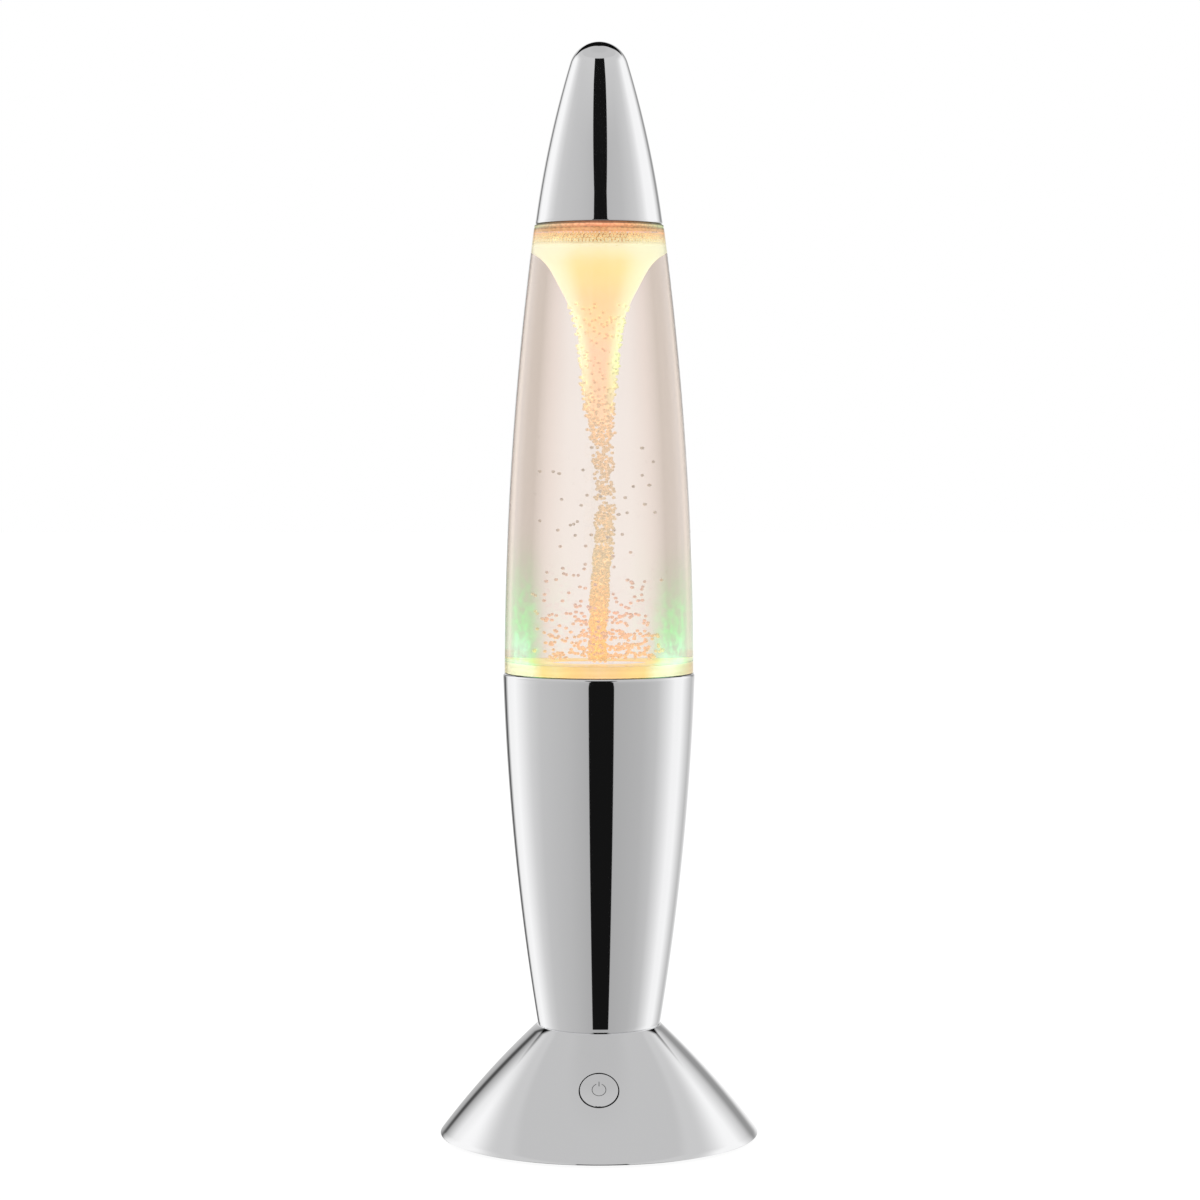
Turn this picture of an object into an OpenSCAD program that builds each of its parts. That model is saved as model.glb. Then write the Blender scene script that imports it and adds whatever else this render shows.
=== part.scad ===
// Tornado lamp. A chrome stand carries a clear bottle of water and beads. A motor in the stand turns
// a pair of magnets, and they turn a stirrer in the bottle's floor, which draws the beads into a funnel.
// Millimetres, Z up, standing on z = 0, with the power button facing -Y.

/* [Base shell] */
// Gap between the shell's rim and the surface that the lamp stands on
rim_gap = 1; // [0.6:0.1:1.6]
// Height of the base shell, from its rim to the deck that carries the cup
base_h = 34.3; // [33:0.1:38]
// Room between the battery contacts' corners and the outside of the flare, which sets the rim's radius
bay_room = 2.51; // [2.15:0.01:6]
// Outer radius of the neck, where the cup stands
base_neck_r = 19.3; // [19:0.1:22]
// How far the flare swells beyond a straight cone
base_bow = 1; // [0.8:0.1:2.4]
// Wall of the base shell
base_wall = 2; // [1.6:0.1:2.2]
// Thickness of the deck
deck_t = 2.4; // [2:0.1:3]

/* [Power button] */
// Height of the button's centre on the flare
button_z = 20.6; // [19:0.1:22]
// Radius of the button
button_r = 5.8; // [4.5:0.1:6.4]
// How far the button travels
button_travel = 1; // [0.5:0.1:1.1]

/* [Base plate and feet] */
// How far the plate sits above the shell's rim
plate_recess = 0.6; // [0.4:0.1:1]
// Thickness of the plate
plate_t = 2; // [1.8:0.1:2.4]
// Radius of a rubber foot
foot_r = 4; // [3:0.1:4.4]
// How far the feet's centres stand inside the rim
foot_inset = 7.8; // [7.4:0.1:8.6]

/* [Battery bay] */
// Radius of a cell
cell_r = 7.25; // [7:0.05:7.3]
// Length of a cell, with its button
cell_len = 50.5; // [48:0.1:51]
// Number of cells, side by side
cell_count = 3; // [3:1:3]
// Length of a contact spring as fitted
spring_len = 4; // [3.6:0.1:4.4]
// Turns of a contact spring
spring_turns = 3; // [2:1:3]

/* [Cup] */
// Height of the cup
cup_h = 110.2; // [104:0.1:125]
// Outer radius at the cup's foot
cup_foot_r = 19.1; // [18.8:0.1:21]
// Outer radius at the cup's rim
cup_rim_r = 29.9; // [29.8:0.1:32]
// How far the cup's side swells beyond a straight cone
cup_bow = 1.84; // [1.5:0.1:3]
// Wall of the cup
cup_wall = 2; // [1.6:0.1:2.2]
// Thickness of the cup's floor
cup_floor_t = 2.6; // [2:0.1:3.4]

/* [Bottle] */
// Height of the bottle above the cup's rim
bottle_h = 137.4; // [120:0.1:170]
// Outer radius of the bottle at the cup's rim
bottle_foot_r = 29.45; // [29.2:0.05:29.8]
// Outer radius of the bottle at its mouth
bottle_mouth_r = 20.2; // [19.8:0.1:22]
// How far the bottle's side swells beyond a straight cone
bottle_bow = 2.2; // [1.6:0.1:3]
// Wall of the bottle
bottle_wall = 3; // [2.4:0.1:3.2]
// How deep the bottle's spigot stands in the cup
spigot_h = 12; // [10:0.1:14]
// How far the bottle's floor stands above the cup's rim
floor_rise = 3.5; // [2:0.1:5]

/* [Lid and cap] */
// Thickness of the lid's flange
lid_t = 1.2; // [1:0.1:2.4]
// Radius of the lid's flange
lid_r = 20; // [19.2:0.1:20.2]
// Radius of the collar that holds the cap
collar_r = 15.4; // [14.5:0.1:15.8]
// Height of the collar
collar_h = 7; // [5:0.1:8]
// Height of the cap
cap_h = 56.4; // [50:0.1:60]
// Outer radius of the cap at its rim
cap_rim_r = 19.75; // [19.4:0.05:20.2]
// Radius of the long curve of the cap's side
cap_side_r = 308; // [260:1:400]
// Radius of the cap's nose
cap_nose_r = 9.3; // [8:0.1:10.5]
// Wall of the cap
cap_wall = 1.8; // [1.2:0.1:2]

/* [Magnetic drive] */
// Length of the motor's can
motor_len = 25; // [22:0.1:28]
// Radius of the motor's can
motor_r = 10.05; // [9.5:0.05:10.4]
// Width of the motor across its flats
motor_flat_w = 15.1; // [14.5:0.1:16]
// Radius of the disc that carries the driving magnets
carrier_r = 10.3; // [9.8:0.1:10.6]
// Radius of the well in the bottle's floor
well_r = 11.2; // [10.8:0.1:12]
// Depth of the well
well_depth = 10; // [9:0.1:11]
// Floor left between the well and the drive below it
well_floor_t = 2; // [1.6:0.1:2.4]
// Number of the stirrer's blades
blade_count = 4; // [3:1:5]

/* [Lights] */
// Number of lights round the drive
led_count = 6; // [6:1:6]
// Radius of the circle of lights
led_circle_r = 18.5; // [17.8:0.1:19.4]
// Radius of one light's lens
led_r = 2.5; // [1.5:0.1:2.6]
// Height of one light above its board
led_h = 8.6; // [6:0.1:9]

/* [Beads] */
// Radius of a bead
bead_r = 0.6; // [0.4:0.05:0.7]
// Radius of the column of beads below the funnel
core_r = 2.2; // [1.8:0.1:2.8]
// How fast the funnel narrows below its mouth
funnel_fall = 15.5; // [12:0.5:20]
// Number of beads drawn along the funnel
funnel_count = 110; // [40:10:120]
// Number of beads drawn in the layers under the lid
crown_count = 42; // [20:2:50]
// Number of loose beads drawn near the floor
loose_count = 48; // [20:2:60]

/* [Hidden] */

$fn = 96;
// Sides that stand for a long, shallow curve
arc_sides = 720;
// How far every cut runs past the face that it leaves by
over = 1;
// Clearance of a part that is glued or pressed in place
seat_gap = 0.05;
// Clearance of a shaft that turns in its bearing
run_gap = 0.05;
// Clearance of a thread that is drawn plain
thread_gap = 0.02;
// Clearance between a moving piece and what it passes
move_gap = 0.4;
// Small roundings of the shells' edges
edge_round = 0.8;
crease_round = 0.45;
// How deep a rounding's circle lies in its corner
round_share = 0.9;
// The angle between one bead and the next
golden_angle = 137.508;

// Heights of the main pieces
base_z = rim_gap;
neck_z = base_z + base_h;
deck_z = neck_z - deck_t;
cup_top_z = neck_z + cup_h;
mouth_z = cup_top_z + bottle_h;
lid_top_z = mouth_z + lid_t;
cap_seat = 0.2;
cap_z = lid_top_z + cap_seat;
cap_top_z = cap_z + cap_h;

// Outline of the cup
cup_low = [cup_foot_r, neck_z];
cup_high = [cup_rim_r, cup_top_z];
// Outline of the bottle
bottle_low = [bottle_foot_r, cup_top_z];
bottle_high = [bottle_mouth_r, mouth_z];

// Screws: radius of the head, its height, radius of the shank
big_head_r = 2.6;
big_head_h = 1.7;
big_shank_r = 1.45;
big_hole_r = 1.65;
small_head_r = 1.9;
small_head_h = 1.2;
small_shank_r = 0.95;
small_hole_r = 1.1;
cross_w_share = 0.3;
cross_len_share = 1.2;
cross_depth_share = 0.5;
board_t = 1.6;

// Joint between the base shell and the cup
collar_in_r = 6;
collar_out_r = 8;
cup_collar_h = 3;
collar_gap = 0.1;
cup_screw_circle_r = 12.5;
cup_screw_turns = [90, 210, 330];
cup_boss_r = 3.2;
cup_boss_h = 11;
// How deep a board's screw reaches into a boss that a cup's screw enters from below
board_screw_depth = 4.5;

// Button, and the switch behind it
button_rise = 0.35;
button_face_r = 45;
button_flange_r = 7;
button_flange_z = -2.9;
button_flange_t = 0.9;
plunger_r = 1.7;
plunger_sink = 1.2;
switch_w = 7;
switch_h = 3.8;
switch_top_gap = 0.3;
switch_board_w = 26;
switch_board_h = 9;
switch_post_x = 10.1;
switch_post_r = 2.4;
switch_screw_len = 5;

// Screws and feet of the base plate
plate_gap = 0.2;
base_screw_inset = 9.3;
base_screw_turns = [0, 90, 180, 270];
base_pad_r = 4.2;
base_pad_h = 2;
base_boss_r = 3;
base_screw_len = 6;
base_screw_sink = 1.4;
foot_sink = 0.5;
foot_turns = [45, 135, 225, 315];

// Battery bay
cell_pitch = 15.3;
channel_gap = 0.3;
bay_wall = 1.3;
bay_end_t = 1.6;
cell_lift = 0.4;
mouth_inset = 0.15;
contact_t = 0.4;
contact_gap = 0.2;
pocket_r = 5.5;
nub_r = 2.75;
nub_h = 1.2;
contact_w = 9;
bay_clear = 0.5;
spring_wire_r = 0.3;
spring_r = 3.2;

// Battery door
door_lap_x = 2.4;
door_lap_y = 1.6;
door_seat_gap = 0.1;
door_t = 1;
door_panel_t = 0.8;
door_pin_r = 0.6;
door_barrel_r = 1.1;
door_barrel_w = 8;
door_barrel_y = 14;
door_ear_w = 3;
door_corner = 1.6;
latch_w = 12;
latch_h = 3;
latch_t = 1.2;
grip_r = 5;
grip_depth = 1;

// Cup's inside
rib_count = 6;
rib_t = 1.6;
rib_reach_r = 24.6;
rib_h = 15;
column_r = 3;
column_circle_r = 21;
column_turns = [90, 210, 330];
column_drop = 60;
column_screw_len = 8;
socket_r = 27.6;
spigot_gap = 0.15;

// Motor, its bracket and the boards
led_gap = 0.6;
led_post_h = 5;
led_post_r = 2.4;
led_post_turns = [30, 150, 270];
led_rim_r = 2.8;
led_rim_h = 1;
led_board_r = 23.8;
led_board_hole_r = 12;
bracket_t = 2.4;
bracket_r = 24.2;
motor_boss_r = 3.1;
motor_boss_h = 1.4;
motor_screw_x = 6.5;
motor_screw_len = 4;
bell_t = 2.4;
terminal_w = 2.6;
terminal_t = 0.5;
terminal_x = 5;
terminal_h = 4.5;
terminal_sink = 1.6;
shaft_r = 1;
shaft_tail = 1;
control_board_r = 15;
chip_size = [8, 5, 1.6];
cap_can_r = 2.5;
cap_can_h = 6;
control_part_y = 5;

// Magnetic drive and stirrer
drive_gap = 0.4;
carrier_t = 6;
carrier_hub_r = 3.5;
carrier_hub_h = 4.5;
shaft_end_gap = 1;
drive_recess_gap = 1.2;
magnet_x = 6.4;
drive_magnet_r = 3;
drive_magnet_h = 3;
stir_magnet_r = 2.5;
stir_magnet_h = 2;
stir_gap = 0.6;
stir_disc_r = 9.6;
stir_disc_t = 3;
stir_hub_r = 3;
stir_hub_h = 8.4;
blade_h = 4.6;
blade_t = 1.2;
blade_bend_r = 11;
pin_sink = 1.4;
pin_end_gap = 0.3;

// Bottle, lid and cap
fluid_gap = 0.3;
floor_gap = 0.05;
lid_spigot_h = 1.5;
lid_spigot_gap = 0.12;
collar_wall = 2;
fill_hole_r = 4;
fill_boss_r = 6.5;
fill_boss_h = 2.6;
fill_head_r = 5.8;
fill_head_h = 2;
cap_rib_count = 6;
cap_rib_t = 1.2;
cap_rib_h = 7.5;
cap_rib_gap = 0.1;

// Wires
wire_r = 0.6;
wire_sides = 8;
wire_bend = 2.5;
wire_bend_steps = 4;
// How much of a stretch a rounded corner may take
bend_share = 0.45;
lead_out_share = 0.72;
lead_side_share = 0.4;
// A direction that no stretch of a battery lead follows
lead_aside = [0.3, 1, 0.1];
motor_wire_x = 5;
led_wire_x = 14;
led_wire_y = 1.5;
hole_wire_r = 4;

// Beads
crown_layers = 2;
crown_step = 2.4;
bead_sides = 16;
funnel_mouth_drop = 7;
funnel_gather_share = 0.62;
loose_top_share = 0.36;
loose_stride = 7;
loose_inward_share = 0.33;
bead_wall_gap = 0.6;
bead_floor_gap = 0.8;

// Derived heights of the drive
floor_top_z = cup_top_z + floor_rise;
spigot_z = cup_top_z - spigot_h;
well_z = floor_top_z - well_depth;
recess_z = well_z - well_floor_t;
carrier_top_z = recess_z - drive_gap;
carrier_z = carrier_top_z - carrier_t;
led_board_top_z = spigot_z - led_gap - led_h;
led_board_z = led_board_top_z - board_t;
bracket_top_z = led_board_z - led_post_h;
bracket_z = bracket_top_z - bracket_t;
can_z = bracket_z - motor_len;
bell_z = can_z - bell_t;
shaft_z = bell_z - shaft_tail;
shaft_top_z = carrier_top_z - shaft_end_gap;
stir_z = well_z + stir_gap;
cup_floor_z = neck_z + cup_floor_t;
control_z = neck_z + cup_boss_h;
control_top_z = control_z + board_t;

// Derived sizes of the battery bay
plate_z = base_z + plate_recess;
plate_top_z = plate_z + plate_t;
cell_z = plate_top_z + cell_lift + cell_r;
channel_r = cell_r + channel_gap;
bay_half = (cell_len + spring_len) / 2 + contact_t + contact_gap;
contact_x = bay_half - contact_gap;
cell_start_x = contact_x - contact_t;
channel_half = cell_start_x - nub_h + channel_gap;
bay_half_w = cell_pitch * (cell_count - 1) / 2 + channel_r - mouth_inset;
cell_shares = [for (i = [0:cell_count - 1]) i - (cell_count - 1) / 2];
door_half_x = bay_half + door_lap_x;
door_half_y = bay_half_w + door_lap_y;
door_pin_x = door_half_x;
door_pin_z = plate_z + door_barrel_r;
door_pin_len = 2 * (door_barrel_y + door_barrel_w / 2 + door_ear_w);
latch_x = door_half_x + move_gap;

// The flare clears the corners of the contacts, and so its rim follows from the cells
row_y = cell_pitch * (cell_count - 1) / 2;
contact_corner_r = norm([bay_half, row_y + contact_w / 2]);
contact_rise_share = (cell_z + contact_w / 2 - base_z) / base_h;
base_rim_r = base_neck_r + (contact_corner_r + bay_room - base_neck_r) / (1 - contact_rise_share);
base_screw_circle_r = base_rim_r - base_screw_inset;
foot_circle_r = base_rim_r - foot_inset;
// Outline of the base shell
base_low = [base_rim_r, base_z];
base_high = [base_neck_r, neck_z];

// Radius of an arc from its chord and its bow
function bow_radius(low, high, bow) = (pow(norm(high - low) / 2, 2) + bow * bow) / (2 * bow);

// Unit vector square to the chord, away from the axis
function bow_out(low, high) = [high[1] - low[1], low[0] - high[0]] / norm(high - low);

function bow_centre(low, high, bow) =
    (low + high) / 2 - bow_out(low, high) * (bow_radius(low, high, bow) - bow);

// Radius of a bowed outline at a height, set in by a wall
function bow_r(low, high, bow, inset, z) =
    let (centre = bow_centre(low, high, bow), radius = bow_radius(low, high, bow) - inset)
    centre[0] + sqrt(radius * radius - pow(z - centre[1], 2));

// Radius of the bottle's inside at a height
function bottle_in_r(z) = bow_r(bottle_low, bottle_high, bottle_bow, bottle_wall, z);

// The button's place and lean follow the flare
flare_centre = bow_centre(base_low, base_high, base_bow);
button_axis_r = bow_r(base_low, base_high, base_bow, 0, button_z);
button_lift = atan2(button_z - flare_centre[1], button_axis_r - flare_centre[0]);
plunger_z = button_flange_z - button_flange_t;
switch_top_z = plunger_z - button_travel - switch_top_gap;
switch_board_z = switch_top_z - switch_h - board_t;

// A point in the button's own frame, whose Z leaves the flare squarely and whose Y runs up the flare
function at_button(p) = [
    p[0],
    p[1] * sin(button_lift) - p[2] * cos(button_lift) - button_axis_r,
    p[1] * cos(button_lift) + p[2] * sin(button_lift) + button_z
];

// How far the round flare falls away beside the button
function flare_drop(x) = x * x * cos(button_lift) / (2 * button_axis_r);

// Centre of the cap's long side curve: it passes through the rim and touches the nose's circle
nose_centre = [0, cap_top_z - cap_nose_r];
cap_rim = [cap_rim_r, cap_z];
cap_line = (nose_centre - cap_rim) / norm(nose_centre - cap_rim);
cap_along = (pow(cap_side_r, 2) - pow(cap_side_r - cap_nose_r, 2) + pow(norm(nose_centre - cap_rim), 2))
    / (2 * norm(nose_centre - cap_rim));
cap_aside = sqrt(pow(cap_side_r, 2) - pow(cap_along, 2));
cap_centre = cap_rim + cap_along * cap_line + cap_aside * [-cap_line[1], cap_line[0]];
cap_join = (nose_centre - cap_centre) / norm(nose_centre - cap_centre);

function cap_join_z(inset) = cap_centre[1] + (cap_side_r - inset) * cap_join[1];

// Radius of the crowd of beads at a height
funnel_mouth_z = mouth_z - funnel_mouth_drop;
funnel_spread_r = bottle_in_r(funnel_mouth_z) - bead_wall_gap - bead_r - core_r;

function funnel_r(z) = core_r + funnel_spread_r * exp((z - funnel_mouth_z) / funnel_fall);

function unit(v) = v / norm(v);

// A route with its corners rounded, as points
function rounded(route, bend, steps) = [
    route[0],
    for (i = [1:len(route) - 2])
        let (
            back = unit(route[i - 1] - route[i]),
            ahead = unit(route[i + 1] - route[i]),
            shortest = min(norm(route[i - 1] - route[i]), norm(route[i + 1] - route[i])),
            room = min(bend, bend_share * shortest)
        )
        for (k = [0:steps])
            let (t = k / steps)
            route[i] + back * room * pow(1 - t, 2) + ahead * room * pow(t, 2),
    route[len(route) - 1]
];

// Least gap of a coiled tube to its own next turn, measured on its centre line's points
function coil_gap(path, per_turn, r) = min([
    for (i = [0:len(path) - 1])
        for (j = [i + ceil(per_turn / 2):1:len(path) - 1]) norm(path[i] - path[j])
]) - 2 * r;

// A round tube swept along points. No stretch may run along the aside vector
module tube(path, r, sides, aside) {
    last = len(path) - 1;
    points = [
        for (i = [0:last])
            let (
                way = unit(path[min(i + 1, last)] - path[max(i - 1, 0)]),
                across = unit(cross(way, aside)),
                up = cross(way, across)
            )
            for (k = [0:sides - 1])
                path[i] + r * (cos(360 * k / sides) * across + sin(360 * k / sides) * up)
    ];
    side_faces = [
        for (i = [0:last - 1])
            for (k = [0:sides - 1])
                let (a = i * sides + k, b = i * sides + (k + 1) % sides)
                each [[a, a + sides, b], [b, a + sides, b + sides]]
    ];
    start_cap = [for (k = [1:sides - 2]) [0, k, k + 1]];
    end_cap = [for (k = [1:sides - 2]) [last * sides, last * sides + k + 1, last * sides + k]];
    polyhedron(points = points, faces = concat(side_faces, start_cap, end_cap), convexity = 4);
}

// The region inside a bowed outline, between two heights
module bowed(low, high, bow, inset, z0, z1) {
    intersection() {
        translate(bow_centre(low, high, bow)) {
            circle(r = bow_radius(low, high, bow) - inset, $fn = arc_sides);
        }
        translate([0, z0]) {
            square([max(low[0], high[0]) + bow, z1 - z0]);
        }
    }
}

module flare(inset, z0, z1) {
    bowed(base_low, base_high, base_bow, inset, z0, z1);
}

module cup_side(inset, z0, z1) {
    bowed(cup_low, cup_high, cup_bow, inset, z0, z1);
}

module bottle_side(inset, z0, z1) {
    bowed(bottle_low, bottle_high, bottle_bow, inset, z0, z1);
}

// What a rounded edge loses: dirs says which way the corner points
module edge_cut(corner, dirs, size) {
    reach = size * round_share + over;
    translate(corner - dirs * size * round_share) {
        difference() {
            translate([min(0, dirs[0] * reach), min(0, dirs[1] * reach)]) {
                square(reach);
            }
            circle(r = size);
        }
    }
}

// A ring outline, from an inner to an outer radius
module ring(r0, r1, z0, z1) {
    translate([r0, z0]) {
        square([r1 - r0, z1 - z0]);
    }
}

module at_turns(turns, r) {
    for (turn = turns) {
        rotate(turn) {
            translate([r, 0]) {
                children();
            }
        }
    }
}

module disc(r, z0, z1) {
    translate([0, 0, z0]) {
        cylinder(r = r, h = z1 - z0);
    }
}

// A screw whose shank points up from its head's underside, with a cross in its head
module screw(head_r, head_h, shank_r, length) {
    cross_w = head_r * cross_w_share;
    cross_len = head_r * cross_len_share;
    cross_depth = head_h * cross_depth_share;
    difference() {
        union() {
            disc(head_r, -head_h, 0);
            disc(shank_r, -head_h / 2, length);
        }
        for (turn = [0, 90]) {
            rotate(turn) {
                translate([-cross_len / 2, -cross_w / 2, -head_h - over]) {
                    cube([cross_len, cross_w, cross_depth + over]);
                }
            }
        }
    }
}

module big_screw(length) {
    screw(big_head_r, big_head_h, big_shank_r, length);
}

module small_screw(length) {
    screw(small_head_r, small_head_h, small_shank_r, length);
}

module in_button_frame() {
    translate([0, -button_axis_r, button_z]) {
        rotate([90 - button_lift, 0, 0]) {
            children();
        }
    }
}

// Base
module base_shell() {
    boss_z = plate_top_z + base_pad_h + seat_gap;
    bore_r = big_shank_r + thread_gap;
    color("silver") difference() {
        union() {
            rotate_extrude() {
                difference() {
                    union() {
                        flare(0, base_z, neck_z);
                        ring(collar_in_r, collar_out_r, deck_z, neck_z + cup_collar_h);
                    }
                    flare(base_wall, base_z - over, deck_z);
                    ring(0, collar_in_r, deck_z - over, neck_z + over);
                    edge_cut(base_high, [1, 1], crease_round);
                    edge_cut(base_low, [1, -1], crease_round);
                }
            }
            intersection() {
                at_turns(base_screw_turns, base_screw_circle_r) {
                    disc(base_boss_r, boss_z, neck_z);
                }
                rotate_extrude() {
                    flare(base_wall / 2, base_z, neck_z);
                }
            }
            in_button_frame() {
                for (side = [-1, 1]) {
                    translate([side * switch_post_x, 0]) {
                        disc(
                            switch_post_r,
                            switch_board_z + board_t,
                            -flare_drop(switch_post_x) - base_wall / 2
                        );
                    }
                }
            }
        }
        at_turns(base_screw_turns, base_screw_circle_r) {
            disc(bore_r, boss_z - over, plate_top_z + base_pad_h + base_screw_len - base_screw_sink);
        }
        at_turns(cup_screw_turns, cup_screw_circle_r) {
            disc(big_hole_r, deck_z - over, neck_z + over);
        }
        in_button_frame() {
            disc(button_r + move_gap, -base_wall * 2, over);
            for (side = [-1, 1]) {
                translate([side * switch_post_x, 0]) {
                    disc(
                        small_shank_r + thread_gap,
                        switch_board_z,
                        switch_board_z + switch_screw_len + thread_gap
                    );
                }
            }
        }
    }
}

module power_button() {
    color("gainsboro") in_button_frame() {
        rotate_extrude() {
            intersection() {
                union() {
                    ring(0, button_r, plunger_z, button_rise);
                    ring(0, button_flange_r, plunger_z, button_flange_z);
                }
                translate([0, button_rise - button_face_r]) {
                    circle(r = button_face_r, $fn = arc_sides);
                }
                ring(0, button_flange_r, plunger_z, button_rise);
            }
        }
    }
}

module switch_plunger() {
    color("dimgray") in_button_frame() {
        disc(plunger_r, switch_top_z - plunger_sink, plunger_z);
    }
}

module switch_body() {
    bore_depth = plunger_sink + button_travel + switch_top_gap;
    color("#2b2b2b") in_button_frame() {
        difference() {
            translate([-switch_w / 2, -switch_w / 2, switch_board_z + board_t]) {
                cube([switch_w, switch_w, switch_h]);
            }
            disc(plunger_r + run_gap, switch_top_z - bore_depth, switch_top_z + over);
        }
    }
}

module switch_board() {
    color("darkgreen") in_button_frame() {
        difference() {
            translate([-switch_board_w / 2, -switch_board_h / 2, switch_board_z]) {
                cube([switch_board_w, switch_board_h, board_t]);
            }
            for (side = [-1, 1]) {
                translate([side * switch_post_x, 0]) {
                    disc(small_hole_r, switch_board_z - over, switch_board_z + board_t + over);
                }
            }
        }
    }
}

module switch_screws() {
    color("gray") in_button_frame() {
        for (side = [-1, 1]) {
            translate([side * switch_post_x, 0, switch_board_z]) {
                small_screw(switch_screw_len);
            }
        }
    }
}

// Section of the battery bay across its cells: X is along the row, Y is up
module bay_section(r, half_w, low_z) {
    for (share = cell_shares) {
        translate([share * cell_pitch, cell_z]) {
            circle(r = r);
        }
    }
    translate([-half_w, low_z]) {
        square([2 * half_w, cell_z - low_z]);
    }
}

// Turns a section across the cells into a body that runs along them
module along_cells(half_len) {
    rotate([90, 0, 90]) {
        linear_extrude(height = 2 * half_len, center = true) {
            children();
        }
    }
}

module base_plate() {
    slot_w = 2 * row_y + contact_w + 2 * contact_gap;
    ear_x = door_barrel_r * 2;
    ear_w = door_barrel_w + 2 * door_ear_w;
    room_w = door_barrel_w + 2 * move_gap;
    room_x = door_pin_x + door_barrel_r + move_gap;
    color("#202225") difference() {
        union() {
            rotate_extrude() {
                flare(base_wall + plate_gap, plate_z, plate_top_z);
            }
            intersection() {
                union() {
                    along_cells(channel_half + bay_wall) {
                        bay_section(channel_r + bay_wall, bay_half_w + bay_wall, plate_z);
                    }
                    along_cells(bay_half + bay_end_t) {
                        bay_section(pocket_r + bay_wall, bay_half_w + bay_wall, plate_z);
                    }
                    at_turns(base_screw_turns, base_screw_circle_r) {
                        disc(base_pad_r, plate_z, plate_top_z + base_pad_h);
                    }
                }
                rotate_extrude() {
                    flare(base_wall + bay_clear, plate_z, neck_z);
                }
            }
            // Housings over the door's hinge
            for (side = [-1, 1]) {
                translate([-door_pin_x - ear_x, side * door_barrel_y - ear_w / 2, plate_z]) {
                    cube([2 * ear_x, ear_w, plate_t + door_barrel_r]);
                }
            }
        }
        along_cells(channel_half) {
            bay_section(channel_r, bay_half_w, plate_z - over);
        }
        along_cells(bay_half) {
            bay_section(pocket_r, bay_half_w - bay_wall, plate_z - over);
        }
        // Recess that the door closes
        translate([-door_half_x - move_gap, -door_half_y - move_gap, plate_z - over]) {
            cube([2 * (door_half_x + move_gap), 2 * (door_half_y + move_gap), door_t + door_seat_gap + over]);
        }
        // Room for the hinge barrels, and the pin's holes
        for (side = [-1, 1]) {
            translate([-room_x, side * door_barrel_y - room_w / 2, plate_z - over]) {
                cube([2 * (room_x - door_pin_x), room_w, 2 * door_barrel_r + move_gap + over]);
            }
        }
        translate([-door_pin_x, 0, door_pin_z]) {
            rotate([90, 0, 0]) {
                cylinder(r = door_pin_r + seat_gap, h = door_pin_len + 2 * over, center = true);
            }
        }
        // Slots that hold the contacts
        for (turn = [0, 180]) {
            rotate(turn) {
                translate([cell_start_x - contact_gap, -slot_w / 2, cell_z - contact_w / 2 - contact_gap]) {
                    cube([bay_half - cell_start_x + contact_gap, slot_w, contact_w + 2 * contact_gap]);
                }
            }
        }
        // Finger grip and slot for the door's latch
        translate([latch_x + latch_t, 0, plate_z - over]) {
            cylinder(r = grip_r, h = grip_depth + over);
        }
        translate([latch_x - move_gap, -latch_w / 2 - move_gap, plate_z - over]) {
            cube([latch_t + 2 * move_gap, latch_w + 2 * move_gap, plate_t + 2 * over]);
        }
        at_turns(base_screw_turns, base_screw_circle_r) {
            disc(big_hole_r, plate_z - over, plate_top_z + base_pad_h + over);
            disc(big_head_r + move_gap, plate_z - over, plate_top_z + base_pad_h - base_screw_sink);
        }
        at_turns(foot_turns, foot_circle_r) {
            disc(foot_r + seat_gap, plate_z - over, plate_z + foot_sink);
        }
        // Holes for the battery leads
        for (turn = [0, 180]) {
            rotate(turn) {
                translate([bay_half, -row_y, cell_z]) {
                    rotate([0, 90, 0]) {
                        cylinder(r = wire_r + run_gap, h = 2 * bay_end_t + over, center = true);
                    }
                }
            }
        }
    }
}

module base_screws() {
    color("gray") at_turns(base_screw_turns, base_screw_circle_r) {
        translate([0, 0, plate_top_z + base_pad_h - base_screw_sink]) {
            big_screw(base_screw_len);
        }
    }
}

module rubber_feet() {
    color("#181818") at_turns(foot_turns, foot_circle_r) {
        rotate_extrude() {
            difference() {
                ring(0, foot_r, 0, plate_z + foot_sink - seat_gap);
                edge_cut([foot_r, 0], [1, -1], crease_round);
            }
        }
    }
}

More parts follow.
